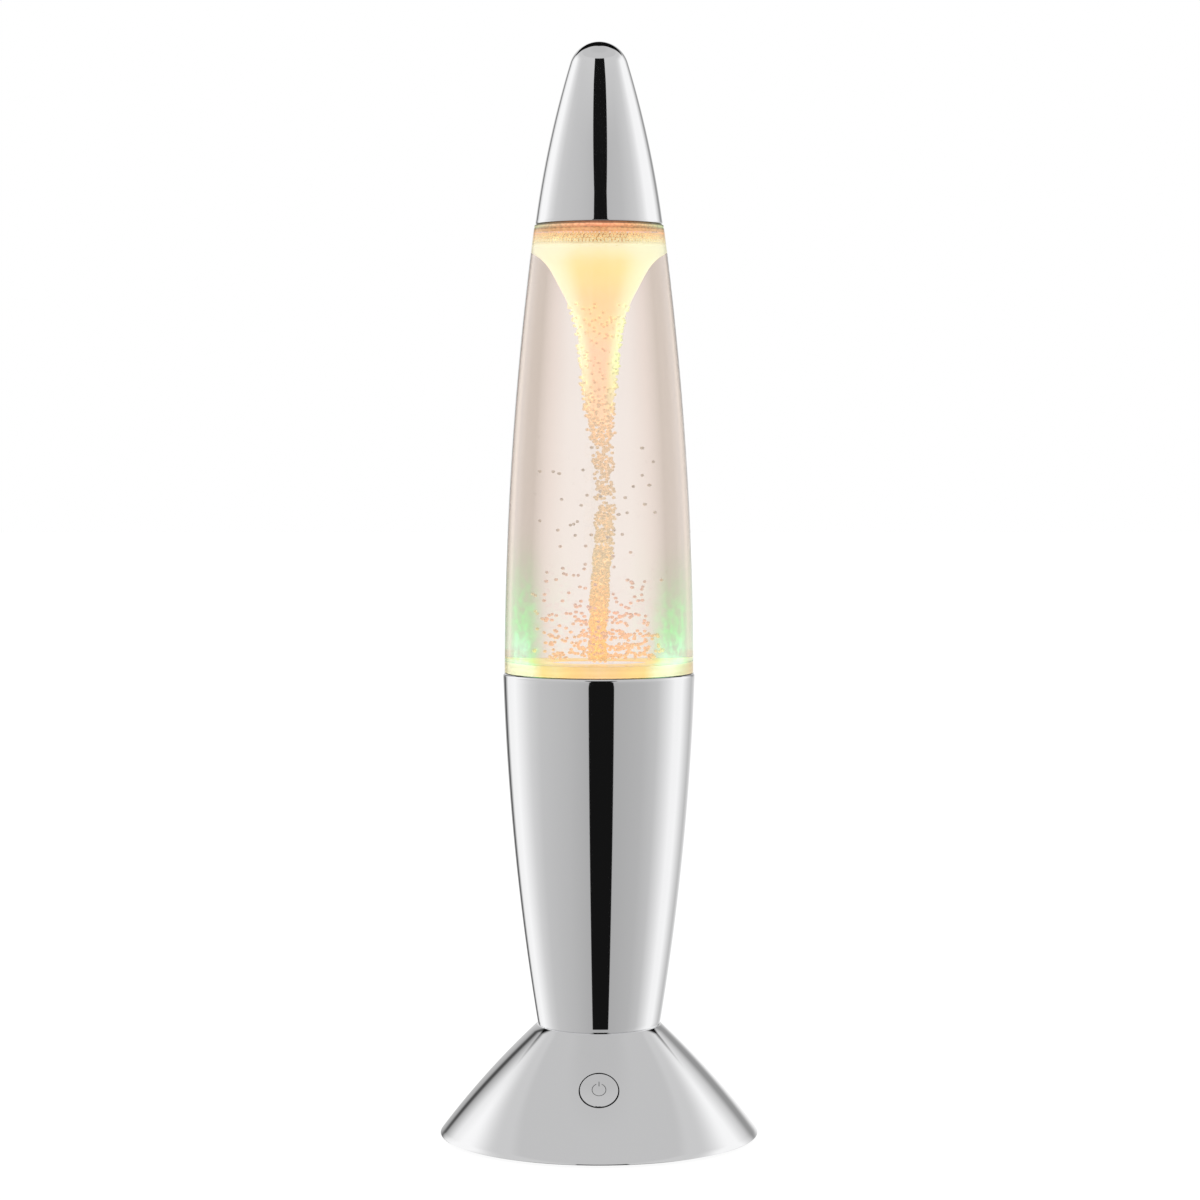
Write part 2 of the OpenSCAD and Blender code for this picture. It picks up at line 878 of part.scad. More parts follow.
module battery_door() {
    panel_x = bay_half - move_gap;
    panel_y = bay_half_w - bay_wall - move_gap;
    color("#26282b") difference() {
        union() {
            translate([-door_half_x, -door_half_y, plate_z]) {
                cube([2 * door_half_x, 2 * door_half_y, door_t]);
            }
            translate([-panel_x, -panel_y, plate_z]) {
                cube([2 * panel_x, 2 * panel_y, door_t + door_panel_t]);
            }
            for (side = [-1, 1]) {
                translate([-door_pin_x, side * door_barrel_y, door_pin_z]) {
                    rotate([90, 0, 0]) {
                        cylinder(r = door_barrel_r, h = door_barrel_w, center = true);
                    }
                }
            }
            translate([latch_x, -latch_w / 2, plate_z]) {
                cube([latch_t, latch_w, latch_h]);
            }
            translate([panel_x, -latch_w / 2, plate_z]) {
                cube([latch_x + latch_t / 2 - panel_x, latch_w, door_t]);
            }
        }
        translate([-door_pin_x, 0, door_pin_z]) {
            rotate([90, 0, 0]) {
                cylinder(r = door_pin_r + run_gap, h = 2 * (door_barrel_y + door_barrel_w), center = true);
            }
        }
        // Corners that turn past the plate beside the barrels
        for (side = [-1, 0, 1]) {
            gap_w = side == 0 ? 2 * door_barrel_y - door_barrel_w : door_half_y;
            gap_y = side == 0 ? 0 : side * (door_barrel_y + door_barrel_w / 2 + door_half_y / 2);
            translate([-door_pin_x - over, gap_y - gap_w / 2, plate_z - over]) {
                cube([door_corner + over, gap_w, door_t + 2 * over]);
            }
        }
    }
}

module door_pin() {
    color("silver") translate([-door_pin_x, 0, door_pin_z]) {
        rotate([90, 0, 0]) {
            cylinder(r = door_pin_r, h = door_pin_len, center = true);
        }
    }
}

// Runs its children once for each cell, turned end for end from one to the next
module per_cell() {
    for (i = [0:cell_count - 1]) {
        translate([0, cell_shares[i] * cell_pitch, cell_z]) {
            rotate(180 * (i % 2)) {
                children();
            }
        }
    }
}

module battery_cells() {
    color("#3f7a4c") per_cell() {
        translate([cell_start_x - cell_len, 0, 0]) {
            rotate([0, 90, 0]) {
                rotate_extrude() {
                    difference() {
                        union() {
                            ring(0, cell_r, 0, cell_len - nub_h);
                            ring(0, nub_r, 0, cell_len);
                        }
                        edge_cut([cell_r, 0], [1, -1], edge_round);
                        edge_cut([cell_r, cell_len - nub_h], [1, 1], edge_round);
                    }
                }
            }
        }
    }
}

module contact_plates() {
    color("silver") for (turn = [0, 180]) {
        rotate(turn) {
            translate([contact_x - contact_t, -row_y - contact_w / 2, cell_z - contact_w / 2]) {
                cube([contact_t, contact_w, contact_w]);
            }
            translate([contact_x - contact_t, -contact_w / 2, cell_z - contact_w / 2]) {
                cube([contact_t, row_y + contact_w, contact_w]);
            }
        }
    }
}

spring_steps = 8;
spring_sides = 6;
spring_path = [
    for (i = [0:spring_turns * spring_steps])
        let (t = i / spring_steps)
        [
            spring_wire_r + t / spring_turns * (spring_len - 2 * spring_wire_r),
            spring_r * cos(360 * t),
            spring_r * sin(360 * t)
        ]
];
echo(spring_gap = coil_gap(spring_path, spring_steps, spring_wire_r));

module contact_springs() {
    color("silver") per_cell() {
        translate([-cell_start_x, 0, 0]) {
            tube(spring_path, spring_wire_r, spring_sides, [1, 0, 0]);
        }
    }
}

// Two leads, from the end contacts up through the neck to the control board
module battery_wires() {
    end_x = bay_half + bay_end_t + wire_bend;
    route = [
        [contact_x, -row_y, cell_z],
        [end_x, -row_y, cell_z],
        [end_x, -cell_pitch / 2, cell_z + wire_bend / 2],
        [end_x - wire_bend / 2, -cell_pitch / 2, cell_z + 2 * wire_bend],
        [end_x * lead_out_share, -cell_pitch * lead_side_share, (cell_z + deck_z) / 2],
        [hole_wire_r * 2, -wire_r * 2, deck_z - 2 * wire_bend],
        [hole_wire_r, -wire_r * 2, deck_z],
        [hole_wire_r, -wire_r * 2, control_z]
    ];
    color("firebrick") for (turn = [0, 180]) {
        rotate(turn) {
            tube(rounded(route, wire_bend, wire_bend_steps), wire_r, wire_sides, lead_aside);
        }
    }
}

// Two leads, from the switch's board up through the neck to the control board
module switch_wires() {
    color("gold") for (side = [-1, 1]) {
        edge = at_button([side * wire_r * 2, switch_board_h / 2, switch_board_z + board_t / 2]);
        off = at_button([side * wire_r * 2, switch_board_h / 2 + wire_bend, switch_board_z + board_t / 2]);
        route = [
            edge,
            off,
            [side * wire_r * 2, -hole_wire_r * 2, deck_z - 2 * wire_bend],
            [side * wire_r * 2, -hole_wire_r, deck_z],
            [side * wire_r * 2, -hole_wire_r, control_z]
        ];
        tube(rounded(route, wire_bend, wire_bend_steps), wire_r, wire_sides, [1, 0, 0]);
    }
}

// Cup
module cup_envelope(inset) {
    rotate_extrude() {
        cup_side(inset, neck_z, cup_top_z);
    }
}

module cup() {
    color("silver") difference() {
        union() {
            rotate_extrude() {
                difference() {
                    cup_side(0, neck_z, cup_top_z);
                    cup_side(cup_wall, cup_floor_z, spigot_z + seat_gap);
                    ring(0, socket_r, spigot_z, cup_top_z + over);
                    ring(0, collar_out_r + collar_gap, neck_z - over, cup_floor_z + over);
                    edge_cut(cup_low, [1, -1], crease_round);
                    edge_cut(cup_high, [1, 1], edge_round);
                }
            }
            at_turns(cup_screw_turns, cup_screw_circle_r) {
                disc(cup_boss_r, neck_z + cup_floor_t / 2, control_z);
            }
            intersection() {
                at_turns(column_turns, column_circle_r) {
                    disc(column_r, bracket_z - column_drop, bracket_z);
                    translate([0, -column_r / 2, bracket_z - column_drop]) {
                        cube([cup_rim_r - column_circle_r, column_r, column_drop]);
                    }
                }
                cup_envelope(cup_wall / 2);
            }
            intersection() {
                at_turns([for (i = [0:rib_count - 1]) i * 360 / rib_count], 0) {
                    translate([rib_reach_r, -rib_t / 2, spigot_z - rib_h]) {
                        cube([cup_rim_r - rib_reach_r, rib_t, rib_h - seat_gap]);
                    }
                }
                cup_envelope(cup_wall / 2);
            }
        }
        at_turns(cup_screw_turns, cup_screw_circle_r) {
            disc(big_shank_r + thread_gap, neck_z - over, control_z + over);
        }
        at_turns(column_turns, column_circle_r) {
            disc(big_shank_r + thread_gap, bracket_z - column_screw_len, bracket_z + over);
        }
    }
}

module cup_screws() {
    color("gray") at_turns(cup_screw_turns, cup_screw_circle_r) {
        translate([0, 0, deck_z]) {
            big_screw(deck_t + cup_boss_h - board_screw_depth);
        }
    }
}

module control_board() {
    color("darkgreen") difference() {
        disc(control_board_r, control_z, control_top_z);
        at_turns(cup_screw_turns, cup_screw_circle_r) {
            disc(big_hole_r, control_z - over, control_top_z + over);
        }
    }
}

module control_chips() {
    color("#222222") {
        translate([-chip_size[0] / 2, control_part_y - chip_size[1] / 2, control_top_z]) {
            cube(chip_size);
        }
        translate([0, -control_part_y, 0]) {
            disc(cap_can_r, control_top_z, control_top_z + cap_can_h);
        }
    }
}

module control_screws() {
    color("gray") at_turns(cup_screw_turns, cup_screw_circle_r) {
        translate([0, 0, control_top_z]) {
            mirror([0, 0, 1]) {
                big_screw(board_t + board_screw_depth - 2 * seat_gap);
            }
        }
    }
}

// Motor
module motor_section() {
    intersection() {
        circle(r = motor_r);
        square([2 * motor_r + over, motor_flat_w], center = true);
    }
}

module motor_slice(z0, z1) {
    translate([0, 0, z0]) {
        linear_extrude(height = z1 - z0) {
            motor_section();
        }
    }
}

module motor_can() {
    color("lightgray") difference() {
        union() {
            motor_slice(can_z, bracket_z);
            disc(motor_boss_r, bracket_z - over, bracket_z + motor_boss_h);
        }
        disc(shaft_r + run_gap, can_z - over, bracket_z + motor_boss_h + over);
        for (side = [-1, 1]) {
            translate([side * motor_screw_x, 0]) {
                disc(small_shank_r + thread_gap, bracket_z - motor_screw_len, bracket_z + over);
            }
        }
    }
}

module motor_end_bell() {
    color("ivory") difference() {
        motor_slice(bell_z, can_z);
        disc(shaft_r + run_gap, bell_z - over, can_z + over);
        for (side = [-1, 1]) {
            translate([side * terminal_x, 0, bell_z + (terminal_sink - over) / 2]) {
                cube(
                    [terminal_w + 2 * seat_gap, terminal_t + 2 * seat_gap, terminal_sink + over],
                    center = true
                );
            }
        }
    }
}

module motor_terminals() {
    color("goldenrod") for (side = [-1, 1]) {
        translate([side * terminal_x, 0, bell_z + terminal_sink - terminal_h / 2]) {
            cube([terminal_w, terminal_t, terminal_h], center = true);
        }
    }
}

module motor_screws() {
    color("gray") for (side = [-1, 1]) {
        translate([side * motor_screw_x, 0, bracket_top_z]) {
            mirror([0, 0, 1]) {
                small_screw(bracket_t + motor_screw_len - seat_gap);
            }
        }
    }
}

module motor_bracket() {
    color("whitesmoke") difference() {
        union() {
            disc(bracket_r, bracket_z, bracket_top_z);
            at_turns(led_post_turns, led_circle_r) {
                disc(led_post_r, bracket_z, led_board_z);
            }
        }
        disc(motor_boss_r + spigot_gap, bracket_z - over, bracket_top_z + over);
        for (side = [-1, 1]) {
            translate([side * motor_screw_x, 0]) {
                disc(small_hole_r, bracket_z - over, bracket_top_z + over);
            }
        }
        at_turns(column_turns, column_circle_r) {
            disc(big_hole_r, bracket_z - over, bracket_top_z + over);
        }
        at_turns(led_post_turns, led_circle_r) {
            disc(small_shank_r + thread_gap, bracket_top_z, led_board_z + over);
        }
        translate([led_wire_x, 0]) {
            disc(led_wire_y + 2 * wire_r, bracket_z - over, bracket_top_z + over);
        }
    }
}

module bracket_screws() {
    color("gray") at_turns(column_turns, column_circle_r) {
        translate([0, 0, bracket_top_z]) {
            mirror([0, 0, 1]) {
                big_screw(bracket_t + column_screw_len - seat_gap);
            }
        }
    }
}

module motor_wires() {
    color("firebrick") for (side = [-1, 1]) {
        translate([side * motor_wire_x, 0]) {
            disc(wire_r, control_top_z, bell_z + terminal_sink - terminal_h);
        }
    }
}

module led_wires() {
    color("gold") for (side = [-1, 1]) {
        translate([led_wire_x, side * led_wire_y]) {
            disc(wire_r, control_top_z, led_board_z);
        }
    }
}

// Lights
module led_board() {
    color("white") difference() {
        disc(led_board_r, led_board_z, led_board_top_z);
        disc(led_board_hole_r, led_board_z - over, led_board_top_z + over);
        at_turns(led_post_turns, led_circle_r) {
            disc(small_hole_r, led_board_z - over, led_board_top_z + over);
        }
    }
}

module led_board_screws() {
    color("gray") at_turns(led_post_turns, led_circle_r) {
        translate([0, 0, led_board_top_z]) {
            mirror([0, 0, 1]) {
                small_screw(board_t + led_post_h - seat_gap);
            }
        }
    }
}

module led() {
    rotate_extrude() {
        ring(0, led_rim_r, led_board_top_z, led_board_top_z + led_rim_h);
        ring(0, led_r, led_board_top_z, led_board_top_z + led_h - led_r);
        intersection() {
            translate([0, led_board_top_z + led_h - led_r]) {
                circle(r = led_r);
            }
            ring(0, led_r, led_board_top_z + led_h - led_r, led_board_top_z + led_h);
        }
    }
}

module green_leds() {
    color("limegreen") at_turns([0, 180], led_circle_r) {
        led();
    }
}

module amber_leds() {
    color("orange") at_turns([for (i = [1, 2, 4, 5]) i * 360 / led_count], led_circle_r) {
        led();
    }
}

// Drive
module motor_shaft() {
    color("silver") disc(shaft_r, shaft_z, shaft_top_z);
}

module magnet_carrier() {
    color("#d8d8d8") difference() {
        union() {
            disc(carrier_r, carrier_z, carrier_top_z);
            disc(carrier_hub_r, carrier_z - carrier_hub_h, carrier_top_z);
        }
        disc(shaft_r + thread_gap, carrier_z - carrier_hub_h - over, shaft_top_z + thread_gap);
        for (side = [-1, 1]) {
            translate([side * magnet_x, 0]) {
                disc(
                    drive_magnet_r + seat_gap,
                    carrier_top_z - drive_magnet_h - seat_gap,
                    carrier_top_z + over
                );
            }
        }
    }
}

module drive_magnets() {
    color("dimgray") for (side = [-1, 1]) {
        translate([side * magnet_x, 0]) {
            disc(drive_magnet_r, carrier_top_z - drive_magnet_h, carrier_top_z);
        }
    }
}

// One blade's plan: an arc that leaves the hub squarely and bends back towards the rim
module blade_plan() {
    intersection() {
        circle(r = stir_disc_r);
        translate([0, -blade_bend_r]) {
            difference() {
                circle(r = blade_bend_r + blade_t / 2);
                circle(r = blade_bend_r - blade_t / 2);
            }
        }
        translate([stir_hub_r / 2, -stir_disc_r]) {
            square([stir_disc_r, stir_disc_r + blade_t]);
        }
    }
}

module stirrer() {
    color("white") difference() {
        union() {
            disc(stir_disc_r, stir_z, stir_z + stir_disc_t);
            disc(stir_hub_r, stir_z, stir_z + stir_hub_h);
            translate([0, 0, stir_z + stir_disc_t / 2]) {
                linear_extrude(height = stir_disc_t / 2 + blade_h) {
                    at_turns([for (i = [0:blade_count - 1]) i * 360 / blade_count], 0) {
                        blade_plan();
                    }
                }
            }
        }
        disc(shaft_r + run_gap, stir_z - over, stir_z + stir_hub_h + over);
        for (side = [-1, 1]) {
            translate([side * magnet_x, 0]) {
                disc(stir_magnet_r + seat_gap, stir_z - over, stir_z + stir_magnet_h + seat_gap);
            }
        }
    }
}

module stirrer_magnets() {
    color("dimgray") for (side = [-1, 1]) {
        translate([side * magnet_x, 0]) {
            disc(stir_magnet_r, stir_z, stir_z + stir_magnet_h);
        }
    }
}

module pivot_pin() {
    color("silver") disc(shaft_r, well_z - pin_sink, stir_z + stir_hub_h + pin_end_gap);
}

// Bottle
spigot_r = socket_r - spigot_gap;
floor_r = spigot_r - bottle_wall;

module bottle_shell() {
    color([0.85, 0.92, 0.95, 0.3]) rotate_extrude() {
        difference() {
            union() {
                bottle_side(0, cup_top_z, mouth_z);
                ring(0, spigot_r, spigot_z, cup_top_z + over);
            }
            bottle_side(bottle_wall, floor_top_z, mouth_z + over);
            ring(0, floor_r, spigot_z - over, floor_top_z + over);
        }
    }
}

module bottle_floor() {
    color([0.9, 0.92, 0.85, 0.4]) difference() {
        disc(floor_r - floor_gap, spigot_z, floor_top_z);
        disc(well_r, well_z, floor_top_z + over);
        disc(carrier_r + drive_recess_gap, spigot_z - over, recess_z);
        disc(shaft_r + thread_gap, well_z - pin_sink - thread_gap, well_z + over);
    }
}

module water() {
    color([0.8, 0.85, 0.9, 0.2]) rotate_extrude() {
        bottle_side(bottle_wall + fluid_gap, floor_top_z + fluid_gap, mouth_z - lid_spigot_h - fluid_gap);
    }
}

module bead_at(turn, r, z) {
    rotate(turn) {
        translate([r, 0, z]) {
            sphere(r = bead_r, $fn = bead_sides);
        }
    }
}

// The beads' highest and lowest places in the water
bead_top_z = mouth_z - lid_spigot_h - fluid_gap - bead_wall_gap - bead_r;
bead_low_z = floor_top_z + fluid_gap + bead_floor_gap + bead_r;

// Height of a funnel bead: the beads stand closer towards the mouth
function funnel_bead_z(i) =
    bead_low_z + (funnel_mouth_z - bead_low_z) * pow((i + 0.5) / funnel_count, funnel_gather_share);

module funnel_beads() {
    crown_r = bottle_in_r(bead_top_z) - 2 * bead_wall_gap - bead_r;
    color("#f6c79a") {
        for (i = [0:funnel_count - 1]) {
            bead_at(i * golden_angle, funnel_r(funnel_bead_z(i)) - bead_r, funnel_bead_z(i));
        }
        for (i = [0:crown_count - 1]) {
            bead_at(
                i * golden_angle,
                crown_r * sqrt((i + 0.5) / crown_count),
                bead_top_z - (i % crown_layers) * crown_step
            );
        }
    }
}

module loose_beads() {
    low_r = bottle_in_r(bead_low_z) - fluid_gap - bead_wall_gap - bead_r;
    inner_r = core_r + 3 * bead_r;
    color("#e9d3bd") for (i = [0:loose_count - 1]) {
        share = (i + 0.5) / loose_count;
        bead_at(
            i * golden_angle,
            inner_r + (low_r - inner_r) * sqrt((i * loose_stride % loose_count + 0.5) / loose_count)
                * (1 - share * loose_inward_share),
            bead_low_z + bottle_h * loose_top_share * share * share
        );
    }
}

// Lid and cap
module bottle_lid() {
    spigot_out_r = bottle_in_r(mouth_z) - lid_spigot_gap;
    color([0.95, 0.93, 0.88, 0.5]) rotate_extrude() {
        difference() {
            union() {
                ring(0, lid_r, mouth_z, lid_top_z);
                ring(0, spigot_out_r, mouth_z - lid_spigot_h, mouth_z + lid_t / 2);
                ring(collar_r - collar_wall, collar_r, mouth_z + lid_t / 2, lid_top_z + collar_h);
                ring(0, fill_boss_r, mouth_z + lid_t / 2, lid_top_z + fill_boss_h);
            }
            ring(0, fill_hole_r, mouth_z - lid_spigot_h - over, lid_top_z + fill_boss_h + over);
            edge_cut([collar_r, lid_top_z + collar_h], [1, 1], edge_round);
        }
    }
}

module fill_plug() {
    plug_z = lid_top_z + fill_boss_h;
    color("#3a3a3a") {
        disc(fill_hole_r - seat_gap, mouth_z - lid_spigot_h, plug_z + fill_head_h / 2);
        disc(fill_head_r, plug_z, plug_z + fill_head_h);
    }
}

module cap_outline(inset, z0) {
    join_z = cap_join_z(inset);
    intersection() {
        translate(cap_centre) {
            circle(r = cap_side_r - inset, $fn = arc_sides);
        }
        ring(0, cap_rim_r + over, z0, join_z);
    }
    intersection() {
        translate(nose_centre) {
            circle(r = cap_nose_r - inset);
        }
        ring(0, cap_nose_r, join_z - over, cap_top_z);
    }
}

module top_cap() {
    color("silver") {
        rotate_extrude() {
            difference() {
                cap_outline(0, cap_z);
                cap_outline(cap_wall, cap_z - over);
                edge_cut(cap_rim, [1, -1], crease_round);
            }
        }
        intersection() {
            at_turns([for (i = [0:cap_rib_count - 1]) i * 360 / cap_rib_count], 0) {
                translate([collar_r + cap_rib_gap, -cap_rib_t / 2, cap_z + cap_seat]) {
                    cube([cap_rim_r - collar_r, cap_rib_t, cap_rib_h]);
                }
            }
            rotate_extrude() {
                cap_outline(cap_wall / 2, cap_z);
            }
        }
    }
}

base_shell();
power_button();
switch_plunger();
switch_body();
switch_board();
switch_screws();
base_plate();
base_screws();
rubber_feet();
battery_door();
door_pin();
battery_cells();
contact_plates();
contact_springs();
battery_wires();
switch_wires();
cup();
cup_screws();
control_board();
control_chips();
control_screws();
motor_can();
motor_end_bell();
motor_terminals();
motor_screws();
motor_bracket();
bracket_screws();
motor_wires();
led_wires();
led_board();
led_board_screws();
green_leds();
amber_leds();
motor_shaft();
magnet_carrier();
drive_magnets();
stirrer();
stirrer_magnets();
pivot_pin();
bottle_shell();
bottle_floor();
water();
funnel_beads();
loose_beads();
bottle_lid();
fill_plug();
top_cap();
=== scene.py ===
import math
import random

import bpy
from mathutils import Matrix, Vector


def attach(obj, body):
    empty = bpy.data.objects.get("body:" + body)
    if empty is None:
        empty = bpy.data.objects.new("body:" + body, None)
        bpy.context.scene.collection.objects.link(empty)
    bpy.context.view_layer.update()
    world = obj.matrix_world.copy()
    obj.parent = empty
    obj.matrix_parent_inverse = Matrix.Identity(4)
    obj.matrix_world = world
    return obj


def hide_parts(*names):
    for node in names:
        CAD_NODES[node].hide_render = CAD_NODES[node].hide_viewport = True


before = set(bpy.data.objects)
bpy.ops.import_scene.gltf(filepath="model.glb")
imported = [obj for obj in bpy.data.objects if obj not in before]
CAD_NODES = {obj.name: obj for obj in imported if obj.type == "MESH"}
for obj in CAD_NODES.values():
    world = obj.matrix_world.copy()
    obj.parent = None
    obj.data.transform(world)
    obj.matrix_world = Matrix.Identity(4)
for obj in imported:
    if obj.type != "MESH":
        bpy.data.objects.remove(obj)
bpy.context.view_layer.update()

# Lengths below are millimetres, and Blender's are metres
MM = 0.001
# How finely round pieces are turned
ROUND_STEPS = 192
# Points closer than this are one point
TOUCH = 0.004

# Heights of the lamp's pieces
RIM_Z = 1.0
DECK_UNDER_Z = 32.9
NECK_Z = 35.3
CUP_FLOOR_Z = 37.9
COLLAR_TOP_Z = 38.3
SOCKET_Z = 133.5
CUP_TOP_Z = 145.5
FLOOR_TOP_Z = 149.0
MOUTH_Z = 282.9
LID_TOP_Z = 284.1
SPIGOT_Z = 281.4
CAP_Z = 284.3
CAP_TOP_Z = 340.7

# A bowed side: its low end, its high end and how far it swells beyond a straight line
BASE_SIDE = ((49.795, RIM_Z), (19.3, NECK_Z), 1.0)
CUP_SIDE = ((19.1, NECK_Z), (29.9, CUP_TOP_Z), 1.84)
BOTTLE_SIDE = ((29.45, CUP_TOP_Z), (20.2, MOUTH_Z), 2.2)
BASE_WALL = 2.0
CUP_WALL = 2.0
BOTTLE_WALL = 3.0
CAP_WALL = 1.8
# Water, floor and lid run this far into the bottle's wall, so that no air shows between them
CONTACT = 0.15
# The cup's rim is rounded off where the bottle stands in it
LIP_R = 1.1
# The bottle's floor with the stirrer's well and its pin's seat, and the drive's recess below
FLOOR_R = 24.45
WELL_R = 11.2
WELL_Z = 139.0
RECESS_R = 11.5
RECESS_Z = 137.0
PIN_R = 1.02
PIN_Z = 137.6
# The lid's spigot, the collar that the cap grips and the boss round the filling hole
LID_R = 20.0
LID_SPIGOT_R = 17.2
GRIP_OUT_R = 15.4
GRIP_IN_R = 13.4
GRIP_TOP_Z = 291.1
FILL_BOSS_R = 6.5
FILL_BOSS_Z = 286.7
FILL_HOLE_R = 4.0

# The button's centre on the flare, and the way it faces
BUTTON_PLACE = Vector((0, -33.693, 20.6))
BUTTON_WAY = Vector((0, -0.7412735, 0.6712031))
KEY_R = 5.8
# The key's crown: how far its middle stands out, and how flat it is
KEY_RISE = 0.35
KEY_BOW = 90.0

BEAD_R = 0.48
# Radius of the water near the floor
WATER_R = 26.0
# Circle of the bosses that take the base's screws
BOSS_CIRCLE_R = 40.495
# Those bosses end in the flare's wall, at this height and square to this way
BOSS_END_Z = 11.1
FLARE_OUT = Vector((0.753, 0, 0.658))
# The columns of the motor's bracket: where they start, and how long they are
MOTOR_COLUMN_Z = 55.3
MOTOR_COLUMN_LENGTH = 60.0


def hex_colour(code):
    """Linear colour from an sRGB hex code."""
    channels = [int(code[i : i + 2], 16) / 255 for i in (1, 3, 5)]
    linear = [c / 12.92 if c <= 0.04045 else ((c + 0.055) / 1.055) ** 2.4 for c in channels]
    return (*linear, 1.0)


def per_mm(size):
    """Texture scale whose features are about size millimetres."""
    return 1 / (size * MM)


def add(tree, kind, settings=None, inputs=None):
    """Adds a shader node of a kind, with its settings, and sets or links its inputs."""
    node = tree.nodes.new("ShaderNode" + kind)
    for name, value in (settings or {}).items():
        setattr(node, name, value)
    for name, value in (inputs or {}).items():
        if isinstance(value, bpy.types.NodeSocket):
            tree.links.new(value, node.inputs[name])
        else:
            node.inputs[name].default_value = value
    return node


def grey(level):
    """Hex code of a grey, from 0 to 255."""
    return "#" + f"{level:02X}" * 3


def set_stops(ramp, stops):
    """Gives a colour ramp its stops: place from 0 to 1, and sRGB hex."""
    elements = ramp.color_ramp.elements
    while len(elements) < len(stops):
        elements.new(1.0)
    for element, (place, code) in zip(elements, stops):
        element.position = place
        element.color = hex_colour(code)


def colours_along(tree, value, stops):
    """Colours along an axis, from stops that each give a place in millimetres and an sRGB hex."""
    low, high = stops[0][0], stops[-1][0]
    share = add(tree, "MapRange", inputs={
        "Value": value, "From Min": low * MM, "From Max": high * MM,
    })
    ramp = add(tree, "ValToRGB", inputs={"Fac": share.outputs["Result"]})
    set_stops(ramp, [((place - low) / (high - low), code) for place, code in stops])
    return ramp.outputs["Color"]


def start_material(name):
    """An empty node tree and the place of each point on the object."""
    material = bpy.data.materials.new(name)
    material.use_nodes = True
    material.node_tree.nodes.clear()
    place = add(material.node_tree, "TexCoord").outputs["Object"]
    return material, material.node_tree, place


def end_material(material, tree, shader):
    add(tree, "OutputMaterial", inputs={"Surface": shader.outputs["BSDF"]})
    return material


# Finishes


def chrome_plating():
    """Bright chrome over moulded ABS: a mirror with the faint waves of the moulding under it."""
    material, tree, place = start_material("chrome_plating")
    waves = add(tree, "TexNoise", inputs={"Vector": place, "Scale": per_mm(22), "Detail": 1.0})
    haze = add(tree, "TexNoise", inputs={"Vector": place, "Scale": per_mm(3), "Detail": 3.0})
    polish = add(tree, "MapRange", inputs={
        "Value": haze.outputs["Fac"], "To Min": 0.02, "To Max": 0.05,
    })
    bump = add(tree, "Bump", inputs={
        "Height": waves.outputs["Fac"], "Strength": 0.02, "Distance": 0.2 * MM,
    })
    shader = add(tree, "BsdfPrincipled", inputs={
        "Base Color": hex_colour("#F9F9FA"),
        "Metallic": 1.0,
        "Roughness": polish.outputs["Result"],
        "Normal": bump.outputs["Normal"],
    })
    return end_material(material, tree, shader)


def clear_acrylic():
    """Polished clear acrylic: nearly invisible, with a warm tint where the wall is seen edge on."""
    material, tree, place = start_material("clear_acrylic")
    flow = add(tree, "TexNoise", inputs={"Vector": place, "Scale": per_mm(30), "Detail": 1.0})
    tint = add(tree, "Mix", {"data_type": "RGBA"}, {
        "Factor": flow.outputs["Fac"], "A": hex_colour("#FFFEFE"), "B": hex_colour("#FDFBFA"),
    })
    shader = add(tree, "BsdfPrincipled", inputs={
        "Base Color": tint.outputs["Result"], "Roughness": 0.0, "IOR": 1.49, "Transmission Weight": 1.0,
    })
    return end_material(material, tree, shader)


def lamp_light(tree, axes, side, near, far, low, high):
    """From 0 to 1: how strongly the green lamp at one side of the floor lights a point."""
    out = add(tree, "MapRange", inputs={"Value": axes.outputs["X"], "From Max": side * WATER_R * MM})
    aside = add(tree, "ValToRGB", inputs={"Fac": out.outputs["Result"]})
    aside.color_ramp.interpolation = "EASE"
    near_stop = (near / WATER_R, grey(0))
    far_stop = (far / WATER_R, grey(255))
    set_stops(aside, [near_stop, far_stop, (0.92, grey(255)), (1.0, grey(130))])
    height = add(tree, "MapRange", {"interpolation_type": "SMOOTHSTEP"}, {
        "Value": axes.outputs["Z"], "From Min": high * MM, "From Max": low * MM,
    })
    return add(tree, "Math", {"operation": "MULTIPLY"}, {
        0: aside.outputs["Color"], 1: height.outputs["Result"],
    }).outputs["Value"]


